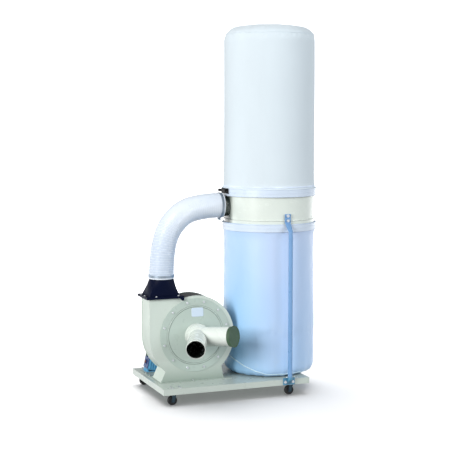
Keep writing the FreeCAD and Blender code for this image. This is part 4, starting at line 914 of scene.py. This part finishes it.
def make_floor():
    """A pale floor that glows far off, so that it has no horizon. It throws no light on the object."""
    s = Shader("studio_floor", Roughness=0.9, Emission_Color=(1, 1, 1, 1))
    s.set("Emission Strength", s.remap(s.axis("Y"), 0.8, 3.0, 0.06, 1.0))
    s.set("Base Color", s.mix(s.remap(s.noise(1.3, 3), 0.3, 0.7), (0.86, 0.86, 0.865), (0.89, 0.89, 0.895)))
    corners = [(-24, -24, 0), (24, -24, 0), (24, 24, 0), (-24, 24, 0)]
    floor = piece("studio_floor", corners, [(0, 1, 2, 3)], s.material, body=None)
    floor.visible_diffuse = False
    return floor


def lamp(name, kind, place, target, energy, colour, lit, **settings):
    """A light that falls on what the collection lit holds or, where that excludes things, on all the rest."""
    data = bpy.data.lights.new(name, kind)
    data.energy = energy
    data.color = colour
    for key, value in settings.items():
        setattr(data, key, value)
    made = bpy.data.objects.new(name, data)
    made.location = place
    made.rotation_euler = (Vector(target) - Vector(place)).to_track_quat("-Z", "Y").to_euler()
    bpy.context.scene.collection.objects.link(made)
    made.light_linking.receiver_collection = lit


def make_world():
    """Soft light that is dimmer from below, and a plain white backdrop for the camera."""
    world = bpy.data.worlds.new("studio")
    world.use_nodes = True
    tree = world.node_tree
    background = tree.nodes["Background"]
    background.inputs["Color"].default_value = (0.97, 0.985, 1.0, 1)
    place = tree.nodes.new("ShaderNodeTexCoord")
    split = tree.nodes.new("ShaderNodeSeparateXYZ")
    dimmer = tree.nodes.new("ShaderNodeMapRange")
    for socket, number in zip(RANGE_SOCKETS, (-0.35, 0.25, 0.30, 0.54)):
        dimmer.inputs[socket].default_value = number
    rays = tree.nodes.new("ShaderNodeLightPath")
    total = tree.nodes.new("ShaderNodeMath")
    tree.links.new(place.outputs["Generated"], split.inputs[0])
    tree.links.new(split.outputs["Z"], dimmer.inputs["Value"])
    tree.links.new(dimmer.outputs["Result"], total.inputs[0])
    tree.links.new(rays.outputs["Is Camera Ray"], total.inputs[1])
    tree.links.new(total.outputs[0], background.inputs["Strength"])
    bpy.context.scene.world = world


def make_light(floor):
    """A large key from the left, a weaker side light, and a broad light that only the floor receives."""
    only_floor = bpy.data.collections.new("only_floor")
    only_floor.objects.link(floor)
    not_floor = bpy.data.collections.new("not_floor")
    not_floor.objects.link(floor)
    not_floor.collection_objects[0].light_linking.link_state = "EXCLUDE"
    lamp("key", "AREA", (-6.9, -4.0, 3.0), (0, 0, 0.8), 630, (1, 0.995, 0.98), not_floor, size=3.2)
    lamp("side", "AREA", (5.5, -4.5, 3.4), (0, 0, 1.0), 250, (0.93, 0.97, 1.0), not_floor, size=3.0)
    lamp("floor_glow", "SUN", (0, 1.6, 4), (0, 0, 0), 2.75, (1, 1, 1), only_floor, angle=math.radians(62))


def make_camera():
    """The camera of the main view."""
    data = bpy.data.cameras.new("camera")
    data.lens = 92.94
    data.sensor_width = 36
    camera = bpy.data.objects.new("camera", data)
    camera.location = (-2.279, -5.841, 1.486)
    camera.rotation_euler = (math.radians(84.74), 0, math.radians(-21.06))
    bpy.context.scene.collection.objects.link(camera)
    bpy.context.scene.camera = camera


make_world()
make_light(make_floor())
make_camera()
bpy.context.scene.view_settings.view_transform = "Standard"
